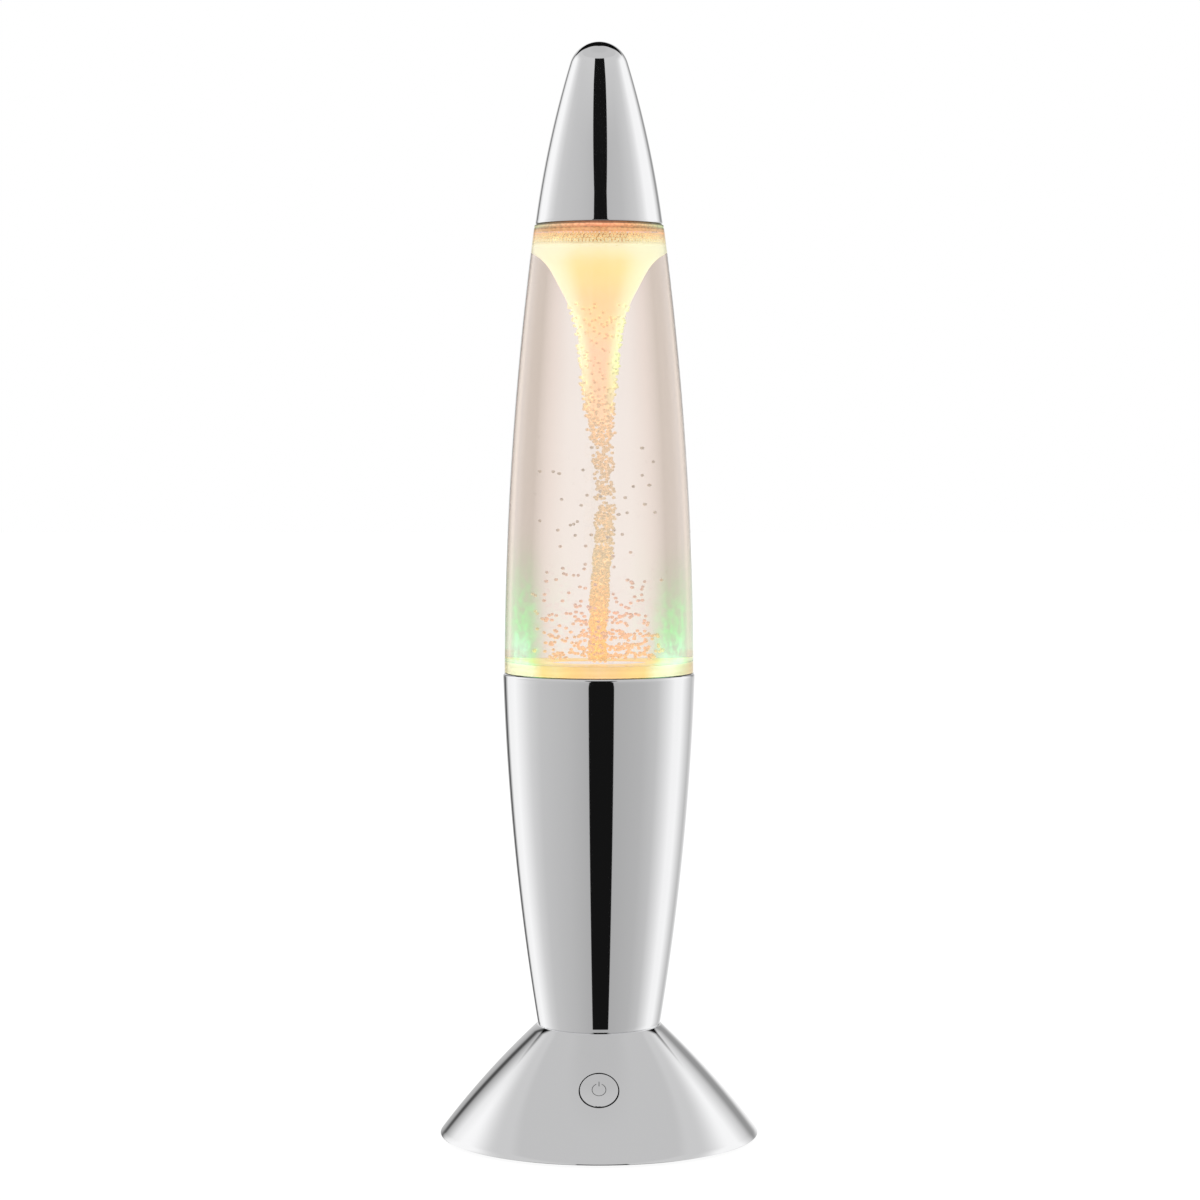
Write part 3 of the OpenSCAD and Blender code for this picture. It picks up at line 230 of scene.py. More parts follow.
def lit_water():
    """Clear water with a faint warm cast, and painted green light above the lamps under its left and
    right, with painted glowing spots over them.
    """
    material, tree, place = start_material("lit_water")
    axes = add(tree, "SeparateXYZ", inputs={"Vector": place})
    # Painted light: how strongly the green lamps would light the water, painted into its tint
    painted_lamp_light = add(tree, "Math", {"operation": "ADD"}, {
        0: lamp_light(tree, axes, -1, 14.5, 21.0, 150.0, 196.0),
        1: lamp_light(tree, axes, 1, 13.0, 20.0, 150.0, 190.0),
    })
    streaks = add(tree, "TexNoise", inputs={"Vector": place, "Scale": per_mm(2.5), "Detail": 2.0})
    broken = add(tree, "MapRange", inputs={
        "Value": streaks.outputs["Fac"], "From Min": 0.3, "From Max": 0.7, "To Min": 0.55,
    })
    strength = add(tree, "Math", {"operation": "MULTIPLY"}, {
        0: painted_lamp_light.outputs["Value"], 1: broken.outputs["Result"],
    })
    tint = add(tree, "Mix", {"data_type": "RGBA"}, {
        "Factor": strength.outputs["Value"], "A": hex_colour("#FEFCFB"), "B": hex_colour("#B4F2B0"),
    })
    # Painted glow: bright green spots over the lamps, given as emission
    spots = add(tree, "Math", {"operation": "ADD"}, {
        0: lamp_light(tree, axes, -1, 18.5, 22.0, 152.0, 162.0),
        1: lamp_light(tree, axes, 1, 15.5, 19.0, 150.0, 160.0),
    })
    painted_spot_glow = add(tree, "Mix", {"data_type": "RGBA"}, {
        "Factor": spots.outputs["Value"], "A": hex_colour("#46F07C"), "B": hex_colour("#B8FFE4"),
    })
    raised = add(tree, "Math", {"operation": "POWER"}, {0: strength.outputs["Value"], 1: 1.9})
    glow = add(tree, "Math", {"operation": "MULTIPLY"}, {0: raised.outputs["Value"], 1: 0.62})
    shader = add(tree, "BsdfPrincipled", inputs={
        "Base Color": tint.outputs["Result"],
        "Roughness": 0.0,
        "IOR": 1.333,
        "Transmission Weight": 1.0,
        "Emission Color": painted_spot_glow.outputs["Result"],
        "Emission Strength": glow.outputs["Value"],
    })
    return end_material(material, tree, shader)


# Colours of the imported beads from the floor to the lid: painted light of the lamps under them, which
# tint them
PACKED_STOPS = (
    (150.0, "#F6CE94"), (158.0, "#F3CC98"), (166.0, "#EFCCA4"), (180.0, "#E2D0B4"), (205.0, "#E0CDB6"),
    (222.0, "#E8CFB2"), (235.0, "#F2D0B0"), (245.0, "#F6D0B0"), (254.0, "#F9D5A6"), (260.5, "#FBD6A2"),
    (266.0, "#FDDF9E"), (269.7, "#FEE49E"), (272.2, "#FEE9A8"), (274.1, "#FEF0BA"), (275.9, "#FFF6C8"),
    (277.2, "#FFFAD2"), (278.4, "#FFF2C4"), (280.0, "#F8DEA6"), (281.4, "#F6CD92"),
)
# The same for the imported heart, with painted shade at its top, where it shows dark between the crowd's
# beads
HEART_STOPS = PACKED_STOPS[:-3] + ((278.2, "#B49A68"), (281.4, "#A8845A"))
# The same for the loose beads
LOOSE_STOPS = (
    (150.0, "#F4CCA4"), (157.0, "#F1C8AC"), (165.0, "#E8C2B6"),
    (177.0, "#DAC2B8"), (190.0, "#CABEB4"), (225.0, "#C4BBB0"),
)


def glowing_beads(name, stops, painted_bead_glow, fleck):
    """Translucent polystyrene beads, with the light of the lamps below painted into their colour and
    glow: each has a shade of its own.
    """
    material, tree, place = start_material(name)
    axes = add(tree, "SeparateXYZ", inputs={"Vector": place})
    tint = colours_along(tree, axes.outputs["Z"], stops)
    spots = add(tree, "TexVoronoi", inputs={"Vector": place, "Scale": per_mm(1.2)})
    brightness = add(tree, "RGBToBW", inputs={"Color": spots.outputs["Color"]})
    shade = add(tree, "MapRange", inputs={
        "Value": brightness.outputs["Val"], "To Min": 1.0 - fleck, "To Max": 1.0,
    })
    flecked = add(tree, "VectorMath", {"operation": "SCALE"}, {
        0: tint, "Scale": shade.outputs["Result"],
    })
    # The funnel's radius at each height, roughly, to paint light on its left and right edges
    opening = add(tree, "MapRange", inputs={
        "Value": axes.outputs["Z"], "From Min": 226.0 * MM, "From Max": 272.0 * MM,
    })
    flared = add(tree, "Math", {"operation": "POWER"}, {0: opening.outputs["Result"], 1: 2.2})
    radius = add(tree, "Math", {"operation": "MULTIPLY_ADD"}, {
        0: flared.outputs["Value"], 1: 10.0 * MM, 2: 3.0 * MM,
    })
    across = add(tree, "Math", {"operation": "DIVIDE"}, {
        0: axes.outputs["X"], 1: radius.outputs["Value"],
    })
    # The painted edge light starts over the chain and ends under the crowd
    starting = add(tree, "MapRange", inputs={
        "Value": axes.outputs["Z"], "From Min": 224.0 * MM, "From Max": 242.0 * MM,
    })
    ending = add(tree, "MapRange", inputs={
        "Value": axes.outputs["Z"],
        "From Min": 276.5 * MM,
        "From Max": 279.5 * MM,
        "To Min": 1.0,
        "To Max": 0.15,
    })
    lit = add(tree, "Math", {"operation": "MULTIPLY"}, {
        0: starting.outputs["Result"], 1: ending.outputs["Result"],
    })
    leaned = flecked.outputs["Vector"]
    # Painted light of the lamps on the funnel's edges: pale yellow at the left, green at the right
    for side, low_code, high_code in ((-1, "#FAF4C2", "#FFFFE0"), (1, "#DAF6B2", "#F8FFDC")):
        edge = add(tree, "MapRange", {"interpolation_type": "SMOOTHSTEP"}, {
            "Value": across.outputs["Value"],
            "From Min": side * 0.4,
            "From Max": side * 0.95,
            "To Max": 0.75,
        })
        weight = add(tree, "Math", {"operation": "MULTIPLY"}, {
            0: edge.outputs["Result"], 1: lit.outputs["Value"],
        })
        painted_edge_light = add(tree, "Mix", {"data_type": "RGBA"}, {
            "Factor": opening.outputs["Result"], "A": hex_colour(low_code), "B": hex_colour(high_code),
        })
        leaned = add(tree, "Mix", {"data_type": "RGBA"}, {
            "Factor": weight.outputs["Value"], "A": leaned, "B": painted_edge_light.outputs["Result"],
        }).outputs["Result"]
    # The beads glow with painted light, though they are no lamp
    shader = add(tree, "BsdfPrincipled", inputs={
        "Base Color": leaned,
        "Roughness": 0.4,
        "IOR": 1.59,
        "Emission Color": leaned,
        "Emission Strength": painted_bead_glow,
    })
    return end_material(material, tree, shader)


# Colours of the lid from left to right: painted light of the beads and lamps under it
LID_STOPS = (
    (-20.0, "#A8AC80"), (-16.0, "#BEA884"), (-8.8, "#E4A87C"), (0.0, "#EEA27A"),
    (8.8, "#E0A070"), (16.0, "#BEAE82"), (20.0, "#A6B480"),
)
# How light it is at each height: from 0 to 255
LID_LINES = (
    (282.2, 255), (282.4, 205), (282.55, 205), (282.7, 255),
    (283.6, 255), (283.85, 150), (284.2, 120), (284.5, 255),
)


def lit_lid():
    """Translucent acrylic with the orange light of the beads under it painted into its colour and glow.
    """
    material, tree, place = start_material("lit_lid")
    axes = add(tree, "SeparateXYZ", inputs={"Vector": place})
    tint = colours_along(tree, axes.outputs["X"], LID_STOPS)
    # In the mouth it is paler, with the painted light of the crowd of beads shining on it from below
    in_mouth = add(tree, "MapRange", inputs={
        "Value": axes.outputs["Z"], "From Min": 282.8 * MM, "From Max": 282.4 * MM, "To Max": 0.85,
    })
    paler = add(tree, "Mix", {"data_type": "RGBA"}, {
        "Factor": in_mouth.outputs["Result"], "A": tint, "B": hex_colour("#F2C088"),
    })
    # The beads under it show through as a fine mottle
    mottle = add(tree, "TexVoronoi", inputs={"Vector": place, "Scale": per_mm(1.0)})
    speck = add(tree, "MapRange", inputs={
        "Value": mottle.outputs["Distance"],
        "From Min": 0.35,
        "From Max": 0.75,
        "To Min": 1.0,
        "To Max": 0.72,
    })
    # A faint line where it sits in the mouth, and a dark one in the shade of the cap's rim
    lines = colours_along(tree, axes.outputs["Z"], [(z, grey(level)) for z, level in LID_LINES])
    shade = add(tree, "Math", {"operation": "MULTIPLY"}, {
        0: speck.outputs["Result"], 1: lines,
    })
    shaded = add(tree, "VectorMath", {"operation": "SCALE"}, {
        0: paler.outputs["Result"], "Scale": shade.outputs["Value"],
    })
    shader = add(tree, "BsdfPrincipled", inputs={
        "Base Color": shaded.outputs["Vector"],
        "Roughness": 0.3,
        "IOR": 1.49,
        "Emission Color": shaded.outputs["Vector"],
        "Emission Strength": 0.55,
    })
    return end_material(material, tree, shader)


# Colours of the floor from left to right: painted light, brightest over the left and right lamps
FLOOR_STOPS = (
    (-25.0, "#F3EBC8"), (-22.5, "#FAFFDC"), (-19.0, "#FCFCDC"), (-16.0, "#FEE8A2"), (-12.5, "#FBEEB0"),
    (-9.5, "#FDE2A0"), (-6.0, "#FADC9C"), (0.0, "#FCE0AE"), (6.5, "#FCDC9E"), (13.0, "#FEE6A2"),
    (16.0, "#FDFFD6"), (20.0, "#FCFFE2"), (23.0, "#E6E8C0"), (25.0, "#F0D8AC"),
)


def lit_floor():
    """Clear acrylic floor, flooded with yellow light, brightest over the left and right lamps."""
    material, tree, place = start_material("lit_floor")
    axes = add(tree, "SeparateXYZ", inputs={"Vector": place})
    tint = colours_along(tree, axes.outputs["X"], FLOOR_STOPS)
    layers = add(tree, "TexWave", {"bands_direction": "Z"}, {
        "Vector": place, "Scale": per_mm(5), "Distortion": 2.0, "Detail": 2.0,
    })
    shade = add(tree, "MapRange", inputs={
        "Value": layers.outputs["Fac"], "To Min": 0.46, "To Max": 0.56,
    })
    # It lies under water, so its index is acrylic's 1.49 over water's 1.33
    shader = add(tree, "BsdfPrincipled", inputs={
        "Base Color": tint,
        "Roughness": 0.3,
        "IOR": 1.12,
        "Transmission Weight": 0.1,
        "Emission Color": tint,
        "Emission Strength": shade.outputs["Result"],
    })
    return end_material(material, tree, shader)


def moulded(name, light, dark, roughness, grain, depth, ior=1.5):
    """A moulded or cast surface: slightly uneven colour, and a fine grain that dulls its shine."""
    material, tree, place = start_material(name)
    cloud = add(tree, "TexNoise", inputs={"Vector": place, "Scale": per_mm(9), "Detail": 3.0})
    ramp = add(tree, "ValToRGB", inputs={"Fac": cloud.outputs["Fac"]})
    set_stops(ramp, [(0.3, dark), (0.7, light)])
    pebbles = add(tree, "TexNoise", inputs={"Vector": place, "Scale": per_mm(grain), "Detail": 2.0})
    dull = add(tree, "MapRange", inputs={
        "Value": pebbles.outputs["Fac"], "To Min": roughness * 0.8, "To Max": roughness * 1.2,
    })
    bump = add(tree, "Bump", inputs={
        "Height": pebbles.outputs["Fac"], "Strength": 0.35, "Distance": depth * MM,
    })
    shader = add(tree, "BsdfPrincipled", inputs={
        "Base Color": ramp.outputs["Color"],
        "Roughness": dull.outputs["Result"],
        "IOR": ior,
        "Normal": bump.outputs["Normal"],
    })
    return end_material(material, tree, shader)


def bare_metal(name, light, dark, roughness, grain):
    """Plated or bare metal: fine drawn lines and small changes of shine."""
    material, tree, place = start_material(name)
    stretched = add(tree, "Mapping", inputs={"Vector": place, "Scale": (1.0, 1.0, 0.2)})
    lines = add(tree, "TexNoise", inputs={
        "Vector": stretched.outputs["Vector"], "Scale": per_mm(grain), "Detail": 3.0,
    })
    ramp = add(tree, "ValToRGB", inputs={"Fac": lines.outputs["Fac"]})
    set_stops(ramp, [(0.35, dark), (0.65, light)])
    shine = add(tree, "MapRange", inputs={
        "Value": lines.outputs["Fac"], "To Min": roughness * 0.7, "To Max": roughness * 1.3,
    })
    shader = add(tree, "BsdfPrincipled", inputs={
        "Base Color": ramp.outputs["Color"], "Metallic": 1.0, "Roughness": shine.outputs["Result"],
    })
    return end_material(material, tree, shader)


def glowing_lens(name, body, light):
    """Tinted epoxy lens of a light that is on: brightest at its dome."""
    material, tree, place = start_material(name)
    axes = add(tree, "SeparateXYZ", inputs={"Vector": place})
    rise = add(tree, "MapRange", inputs={
        "Value": axes.outputs["Z"],
        "From Min": 124.0 * MM,
        "From Max": 133.0 * MM,
        "To Min": 0.4,
        "To Max": 4.0,
    })
    shader = add(tree, "BsdfPrincipled", inputs={
        "Base Color": hex_colour(body),
        "Roughness": 0.1,
        "IOR": 1.54,
        "Emission Color": hex_colour(light),
        "Emission Strength": rise.outputs["Result"],
    })
    return end_material(material, tree, shader)


# Modelling


def deselect():
    bpy.ops.object.select_all(action="DESELECT")


def activate(piece):
    deselect()
    piece.select_set(True)
    bpy.context.view_layer.objects.active = piece


def apply_modifier(piece, kind, **settings):
    activate(piece)
    modifier = piece.modifiers.new(kind, kind)
    for name, value in settings.items():
        setattr(modifier, name, value)
    bpy.ops.object.modifier_apply(modifier=modifier.name)


def settle(piece):
    """Puts the piece's place into its mesh."""
    activate(piece)
    bpy.ops.object.transform_apply(location=True, rotation=True, scale=True)


def soften(piece, width, segments=4, angle=38):
    """Rounds the piece's sharp edges."""
    apply_modifier(
        piece,
        "BEVEL",
        width=width * MM,
        segments=segments,
        limit_method="ANGLE",
        angle_limit=math.radians(angle),
        harden_normals=False,
    )


def smooth(piece, angle=35):
    activate(piece)
    bpy.ops.object.shade_smooth_by_angle(angle=math.radians(angle))


def turned(name, outline, centre=Vector((0, 0, 0)), way=Vector((0, 0, 1)), steps=ROUND_STEPS):
    """Spins an outline of (radius, height) points round an axis."""
    points = [(centre + Vector((r, 0, 0)) + way * z) * MM for r, z in outline]
    deselect()
    bpy.ops.mesh.primitive_plane_add(size=MM, location=points[0])
    piece = bpy.context.object
    piece.name = name
    piece.data.name = name
    settle(piece)
    bpy.ops.object.mode_set(mode="EDIT")
    bpy.ops.mesh.select_all(action="SELECT")
    bpy.ops.mesh.merge(type="CENTER")
    for before, after in zip(points, points[1:]):
        bpy.ops.mesh.extrude_vertices_move(TRANSFORM_OT_translate={"value": after - before})
    bpy.ops.mesh.select_all(action="SELECT")
    bpy.ops.mesh.remove_doubles(threshold=TOUCH * MM)
    bpy.ops.mesh.spin(steps=steps, angle=2 * math.pi, center=centre * MM, axis=way)
    bpy.ops.mesh.select_all(action="SELECT")
    bpy.ops.mesh.remove_doubles(threshold=TOUCH * MM)
    bpy.ops.mesh.normals_make_consistent(inside=False)
    bpy.ops.object.mode_set(mode="OBJECT")
    return piece


def post(radius, length, centre, way=Vector((0, 0, 1)), sides=48):
    """A round post that starts at centre and runs along way."""
    deselect()
    bpy.ops.mesh.primitive_cylinder_add(
        vertices=sides,
        radius=radius * MM,
        depth=length * MM,
        location=(centre + way * length / 2) * MM,
        rotation=way.to_track_quat("Z", "Y").to_euler(),
    )
    piece = bpy.context.object
    settle(piece)
    return piece


def web(size, centre, turn):
    """A flat rib whose centre lies at (radius, height), turned round the lamp's axis."""
    deselect()
    bpy.ops.mesh.primitive_cube_add(size=MM, location=(centre[0] * MM, 0, centre[1] * MM))
    piece = bpy.context.object
    piece.scale = size
    settle(piece)
    piece.rotation_euler = (0, 0, math.radians(turn))
    settle(piece)
    return piece


def trim(piece, point, normal):
    """Cuts off what lies beyond a plane, and closes the cut."""
    activate(piece)
    bpy.ops.object.mode_set(mode="EDIT")
    bpy.ops.mesh.select_all(action="SELECT")
    bpy.ops.mesh.bisect(plane_co=point * MM, plane_no=normal, clear_outer=True, use_fill=True)
    bpy.ops.object.mode_set(mode="OBJECT")


def cut(piece, cutter):
    """Takes the cutter's shape out of the piece."""
    apply_modifier(piece, "BOOLEAN", operation="DIFFERENCE", solver="EXACT", object=cutter)
    bpy.data.objects.remove(cutter)


def join(piece, others):
    activate(piece)
    for other in others:
        other.select_set(True)
    bpy.context.view_layer.objects.active = piece
    bpy.ops.object.join()


def finish_piece(piece, material, body, slot, *nodes):
    """Gives a piece its finish and its body, and hides the nodes that it stands for. Its slot is not
    used.
    """
    piece.data.materials.clear()
    piece.data.materials.append(material)
    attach(piece, body)
    if nodes:
        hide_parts(*nodes)


def turned_way(way, turn):
    angle = math.radians(turn)
    return Vector((
        way.x * math.cos(angle) - way.y * math.sin(angle),
        way.x * math.sin(angle) + way.y * math.cos(angle),
        way.z,
    ))


# Outlines


# How far from an end of a bowed side its nearest point lies
END_REACH = 1.5


def side_arc(side):
    """Centre and radius of a bowed side."""
    low, high, rise = Vector(side[0]), Vector(side[1]), side[2]
    chord = high - low
    radius = ((chord.length / 2) ** 2 + rise * rise) / (2 * rise)
    outward = Vector((chord.y, -chord.x)).normalized()
    return (low + high) / 2 - outward * (radius - rise), radius


def side_radius(side, z, inset=0.0):
    centre, radius = side_arc(side)
    return centre.x + math.sqrt((radius - inset) ** 2 - (z - centre.y) ** 2)


def side_points(side, z0, z1, inset=0.0, steps=16):
    """Points along a bowed side, with one more close to each end to keep its shine straight there."""
    shares = [i / steps for i in range(steps + 1)]
    near_end = END_REACH / abs(z1 - z0)
    shares[1:1] = [near_end]
    shares[-1:-1] = [1 - near_end]
    heights = [z0 + (z1 - z0) * share for share in shares]
    return [(side_radius(side, z, inset), z) for z in heights]


def arc_points(centre, radius, start, end, steps):
    """Points on an arc, between two angles in degrees from the outward way."""
    angles = [math.radians(start + (end - start) * i / steps) for i in range(steps + 1)]
    return [(centre[0] + radius * math.cos(a), centre[1] + radius * math.sin(a)) for a in angles]


CAP_RIM = Vector((19.75, CAP_Z))
CAP_NOSE_R = 9.3
CAP_SIDE_R = 308.0
CAP_NOSE = Vector((0.0, CAP_TOP_Z - CAP_NOSE_R))


def cap_side_centre():
    reach = (CAP_NOSE - CAP_RIM).length
    line = (CAP_NOSE - CAP_RIM) / reach
    run = (CAP_SIDE_R**2 - (CAP_SIDE_R - CAP_NOSE_R) ** 2 + reach**2) / (2 * reach)
    aside = math.sqrt(CAP_SIDE_R**2 - run**2)
    return CAP_RIM + line * run + Vector((-line.y, line.x)) * aside


def cap_points(inset):
    """The cap's side and nose, from its rim to its top."""
    centre = cap_side_centre()
    join_turn = math.degrees(math.atan2(CAP_NOSE.y - centre.y, CAP_NOSE.x - centre.x))
    rim_turn = math.degrees(math.asin((CAP_Z - centre.y) / (CAP_SIDE_R - inset)))
    near_rim = rim_turn + math.degrees(END_REACH / CAP_SIDE_R)
    rim = arc_points(centre, CAP_SIDE_R - inset, rim_turn, near_rim, 1)
    side = arc_points(centre, CAP_SIDE_R - inset, near_rim, join_turn, 14)
    nose = arc_points(CAP_NOSE, CAP_NOSE_R - inset, join_turn, 90, 16)
    return rim + side[1:] + nose[1:-1] + [(0.0, nose[-1][1])]


# Pieces


def make_base():
    """The flare: a thin shell with its deck, its locating collar, screw bosses and switch posts."""
    outline = side_points(BASE_SIDE, RIM_Z, NECK_Z, steps=20)
    outline += [(8.0, NECK_Z), (8.0, COLLAR_TOP_Z), (6.0, COLLAR_TOP_Z), (6.0, DECK_UNDER_Z)]
    outline += side_points(BASE_SIDE, DECK_UNDER_Z, RIM_Z, BASE_WALL, steps=12)
    outline.append(outline[0])
    piece = turned("chrome_base", outline, steps=256)
    soften(piece, 0.35, 3)
    hole = post(6.2, 8.0, BUTTON_PLACE - BUTTON_WAY * 5.0, BUTTON_WAY, 96)
    cut(piece, hole)
    extras = []
    for turn in (0, 90, 180, 270):
        way = turned_way(Vector((1, 0, 0)), turn)
        boss = post(3.0, 12.0, way * BOSS_CIRCLE_R + Vector((0, 0, 5.65)))
        on_wall = way * BOSS_CIRCLE_R + Vector((0, 0, BOSS_END_Z))
        trim(boss, on_wall, turned_way(FLARE_OUT, turn))
        extras.append(boss)
    for side in (-1, 1):
        foot = BUTTON_PLACE + Vector((side * 10.1, 0, 0)) - BUTTON_WAY * 8.9
        extras.append(post(2.4, 6.8, foot, BUTTON_WAY))
    join(piece, extras)
    smooth(piece)
    return piece


def make_cup():
    """The cup: a shell with the bottle's socket, a floor, screw bosses, motor columns and ribs."""
    lip_z = CUP_TOP_Z - LIP_R
    lip_centre = (side_radius(CUP_SIDE, lip_z) - LIP_R, lip_z)
    outline = side_points(CUP_SIDE, NECK_Z, lip_z, steps=20)
    outline += arc_points(lip_centre, LIP_R, 0, 90, 8)[1:]
    outline += [(27.6, CUP_TOP_Z), (27.6, SOCKET_Z)]
    outline += side_points(CUP_SIDE, SOCKET_Z, CUP_FLOOR_Z, CUP_WALL, steps=12)
    outline += [(8.1, CUP_FLOOR_Z), (8.1, NECK_Z)]
    outline.append(outline[0])
    piece = turned("chrome_cup", outline, steps=256)
    soften(piece, 0.25, 2)
    extras = []
    wall_low = side_radius(CUP_SIDE, MOTOR_COLUMN_Z, 1.0)
    wall_high = side_radius(CUP_SIDE, MOTOR_COLUMN_Z + MOTOR_COLUMN_LENGTH, 1.0)
    lean = Vector((MOTOR_COLUMN_LENGTH, 0, wall_low - wall_high)).normalized()
    for turn in (90, 210, 330):
        way = turned_way(Vector((1, 0, 0)), turn)
        extras.append(post(3.2, 9.7, way * 12.5 + Vector((0, 0, 36.6))))
        column = post(3.0, MOTOR_COLUMN_LENGTH, way * 21.0 + Vector((0, 0, MOTOR_COLUMN_Z)))
        fin = web((8.0, 3.0, MOTOR_COLUMN_LENGTH), (25.0, MOTOR_COLUMN_Z + MOTOR_COLUMN_LENGTH / 2), turn)
        for part in (column, fin):
            trim(part, way * wall_low + Vector((0, 0, MOTOR_COLUMN_Z)), turned_way(lean, turn))
        extras += [column, fin]
    for i in range(6):
        extras.append(web((3.2, 1.6, 14.95), (26.2, 126.0), i * 60))
    join(piece, extras)
    smooth(piece)
    return piece


def make_cap():
    """The cap: a long cone with a round nose, hollow, with six ribs that grip the lid's collar."""
    outside = cap_points(0.0)
    inside = cap_points(CAP_WALL)
    piece = turned("chrome_cap", outside + inside[::-1] + [outside[0]], steps=256)
    soften(piece, 0.6, 5)
    join(piece, [web((2.7, 1.2, 7.5), (16.85, 288.25), i * 60) for i in range(6)])
    smooth(piece)
    return piece


def key_height(radius):
    """Height of the key's crowned face over the flare, at a distance from its middle."""
    return KEY_RISE - radius * radius / KEY_BOW


def make_button():
    """The button: a crowned key with a flange behind the shell and a fine power mark in its face."""
    radii = [KEY_R * math.cos(math.radians(a)) for a in range(0, 91, 9)]
    face = [(r, key_height(r)) for r in radii]
    outline = [(0.0, -3.8), (7.0, -3.8), (7.0, -2.9), (KEY_R, -2.9)] + face
    piece = turned("power_key", outline, BUTTON_PLACE, BUTTON_WAY, 96)
    soften(piece, 0.4, 4)
    up = Vector((0, BUTTON_WAY.z, -BUTTON_WAY.y))
    face_centre = BUTTON_PLACE + BUTTON_WAY * 0.32
    deselect()
    bpy.ops.mesh.primitive_torus_add(
        major_radius=2.1 * MM,
        minor_radius=0.1 * MM,
        major_segments=64,
        minor_segments=8,
        location=face_centre * MM,
        rotation=BUTTON_WAY.to_track_quat("Z", "Y").to_euler(),
    )
    ring = bpy.context.object
    settle(ring)
    gap = post(0.8, 3.0, face_centre + up * 1.0, up, 24)
    cut(ring, gap)
    cut(piece, ring)
    tick = post(0.11, 1.7, face_centre + up * 1.2, up, 12)
    cut(piece, tick)
    smooth(piece)
    return piece


def darken_key(material):
    """Leaves the key's skirt unplated, and fills its power mark with the same dark plastic."""
    mesh = bpy.data.objects["power_key"].data
    mesh.materials.append(material)
    for face in mesh.polygons:
        place = face.center / MM - BUTTON_PLACE
        depth = place.dot(BUTTON_WAY)
        radius = (place - BUTTON_WAY * depth).length
        in_mark = radius < 4.0 and depth < key_height(radius) - 0.03
        if depth < -0.45 or in_mark:
            face.material_index = 1


def make_bottle():
    """The bottle's wall: one clear taper with the spigot that stands in the cup."""
    inner = side_points(BOTTLE_SIDE, MOUTH_Z + CONTACT, FLOOR_TOP_Z, BOTTLE_WALL, steps=24)
    outline = [(27.45, SOCKET_Z), (27.45, CUP_TOP_Z)]
    outline += side_points(BOTTLE_SIDE, CUP_TOP_Z, MOUTH_Z + CONTACT, steps=24)
    outline += inner
    outline += [(FLOOR_R, FLOOR_TOP_Z), (FLOOR_R, SOCKET_Z), outline[0]]
    piece = turned("bottle_wall", outline)
    smooth(piece)
    return piece


def make_bottle_base():
    """The bottle's thick floor, with the stirrer's well above and the drive's recess below."""
    outline = [
        (RECESS_R, SOCKET_Z),
        (FLOOR_R + CONTACT, SOCKET_Z),
        (FLOOR_R + CONTACT, FLOOR_TOP_Z),
        (WELL_R, FLOOR_TOP_Z),
        (WELL_R, WELL_Z),
        (PIN_R, WELL_Z),
        (PIN_R, PIN_Z),
        (0.0, PIN_Z),
        (0.0, RECESS_Z),
        (RECESS_R, RECESS_Z),
        (RECESS_R, SOCKET_Z),
    ]
    piece = turned("bottle_base", outline, steps=128)
    soften(piece, 0.25, 2)
    smooth(piece)
    return piece


def make_lid():
    """The lid: a flange, a spigot in the bottle's mouth, the cap's collar and the filling boss."""
    outline = [
        (FILL_HOLE_R, SPIGOT_Z),
        (LID_SPIGOT_R + CONTACT, SPIGOT_Z),
        (LID_SPIGOT_R + CONTACT, MOUTH_Z),
        (LID_R, MOUTH_Z),
        (LID_R, LID_TOP_Z),
        (GRIP_OUT_R, LID_TOP_Z),
        (GRIP_OUT_R, GRIP_TOP_Z),
        (GRIP_IN_R, GRIP_TOP_Z),
        (GRIP_IN_R, LID_TOP_Z),
        (FILL_BOSS_R, LID_TOP_Z),
        (FILL_BOSS_R, FILL_BOSS_Z),
        (FILL_HOLE_R, FILL_BOSS_Z),
        (FILL_HOLE_R, SPIGOT_Z),
    ]
    piece = turned("lid", outline, steps=128)
    soften(piece, 0.12, 2)
    smooth(piece)
    return piece


def make_water():
    """The water: it fills the bottle from wall to wall."""
    bottom_z = FLOOR_TOP_Z - CONTACT
    outline = [(0.0, bottom_z)]
    outline += side_points(BOTTLE_SIDE, bottom_z, SPIGOT_Z + CONTACT, BOTTLE_WALL - CONTACT, steps=24)
    outline.append((0.0, SPIGOT_Z + CONTACT))
    piece = turned("water_body", outline)
    smooth(piece)
    return piece


# Beads

BEAD_LOW_Z = 150.0
BEAD_TOP_Z = 280.7
# The loose beads drift up to here
DRIFT_TOP_Z = 217.0
# A loose chain of beads joins the column and the funnel between these heights
CHAIN_LOW_Z = 181.0
CHAIN_HIGH_Z = 222.0
FUNNEL_MOUTH_Z = 275.0
# Between these heights the funnel is packed smooth
SMOOTH_LOW_Z = 259.0
SMOOTH_HIGH_Z = 277.6
# How many places are drawn for beads. Some of the chain's and the drift's stay empty
FUNNEL_DRAWS = 2000
COLUMN_DRAWS = 1150
CHAIN_DRAWS = 680
DRIFT_DRAWS = 170
# Patches of two to seven beads each
PATCHES = 75
# The crowd's rows, and how far apart its beads lie in a row
ROW_STEP = 0.88
BEAD_STEP = 1.06
# The swirl's outline from the floor to the lid: height and radius
SWIRL_OUTLINE = (
    (149.0, 2.3), (158.0, 2.1), (168.0, 2.3), (176.0, 2.1), (184.0, 2.5),
    (198.0, 2.4), (207.0, 2.5), (217.0, 2.8), (223.0, 2.9), (232.0, 3.85),
    (242.0, 4.4), (251.0, 5.2), (256.0, 6.2), (260.5, 7.7), (265.0, 9.5),
    (269.5, 11.3), (272.5, 13.0), (274.5, 14.9), (276.5, 18.0), (282.0, 18.0),
)
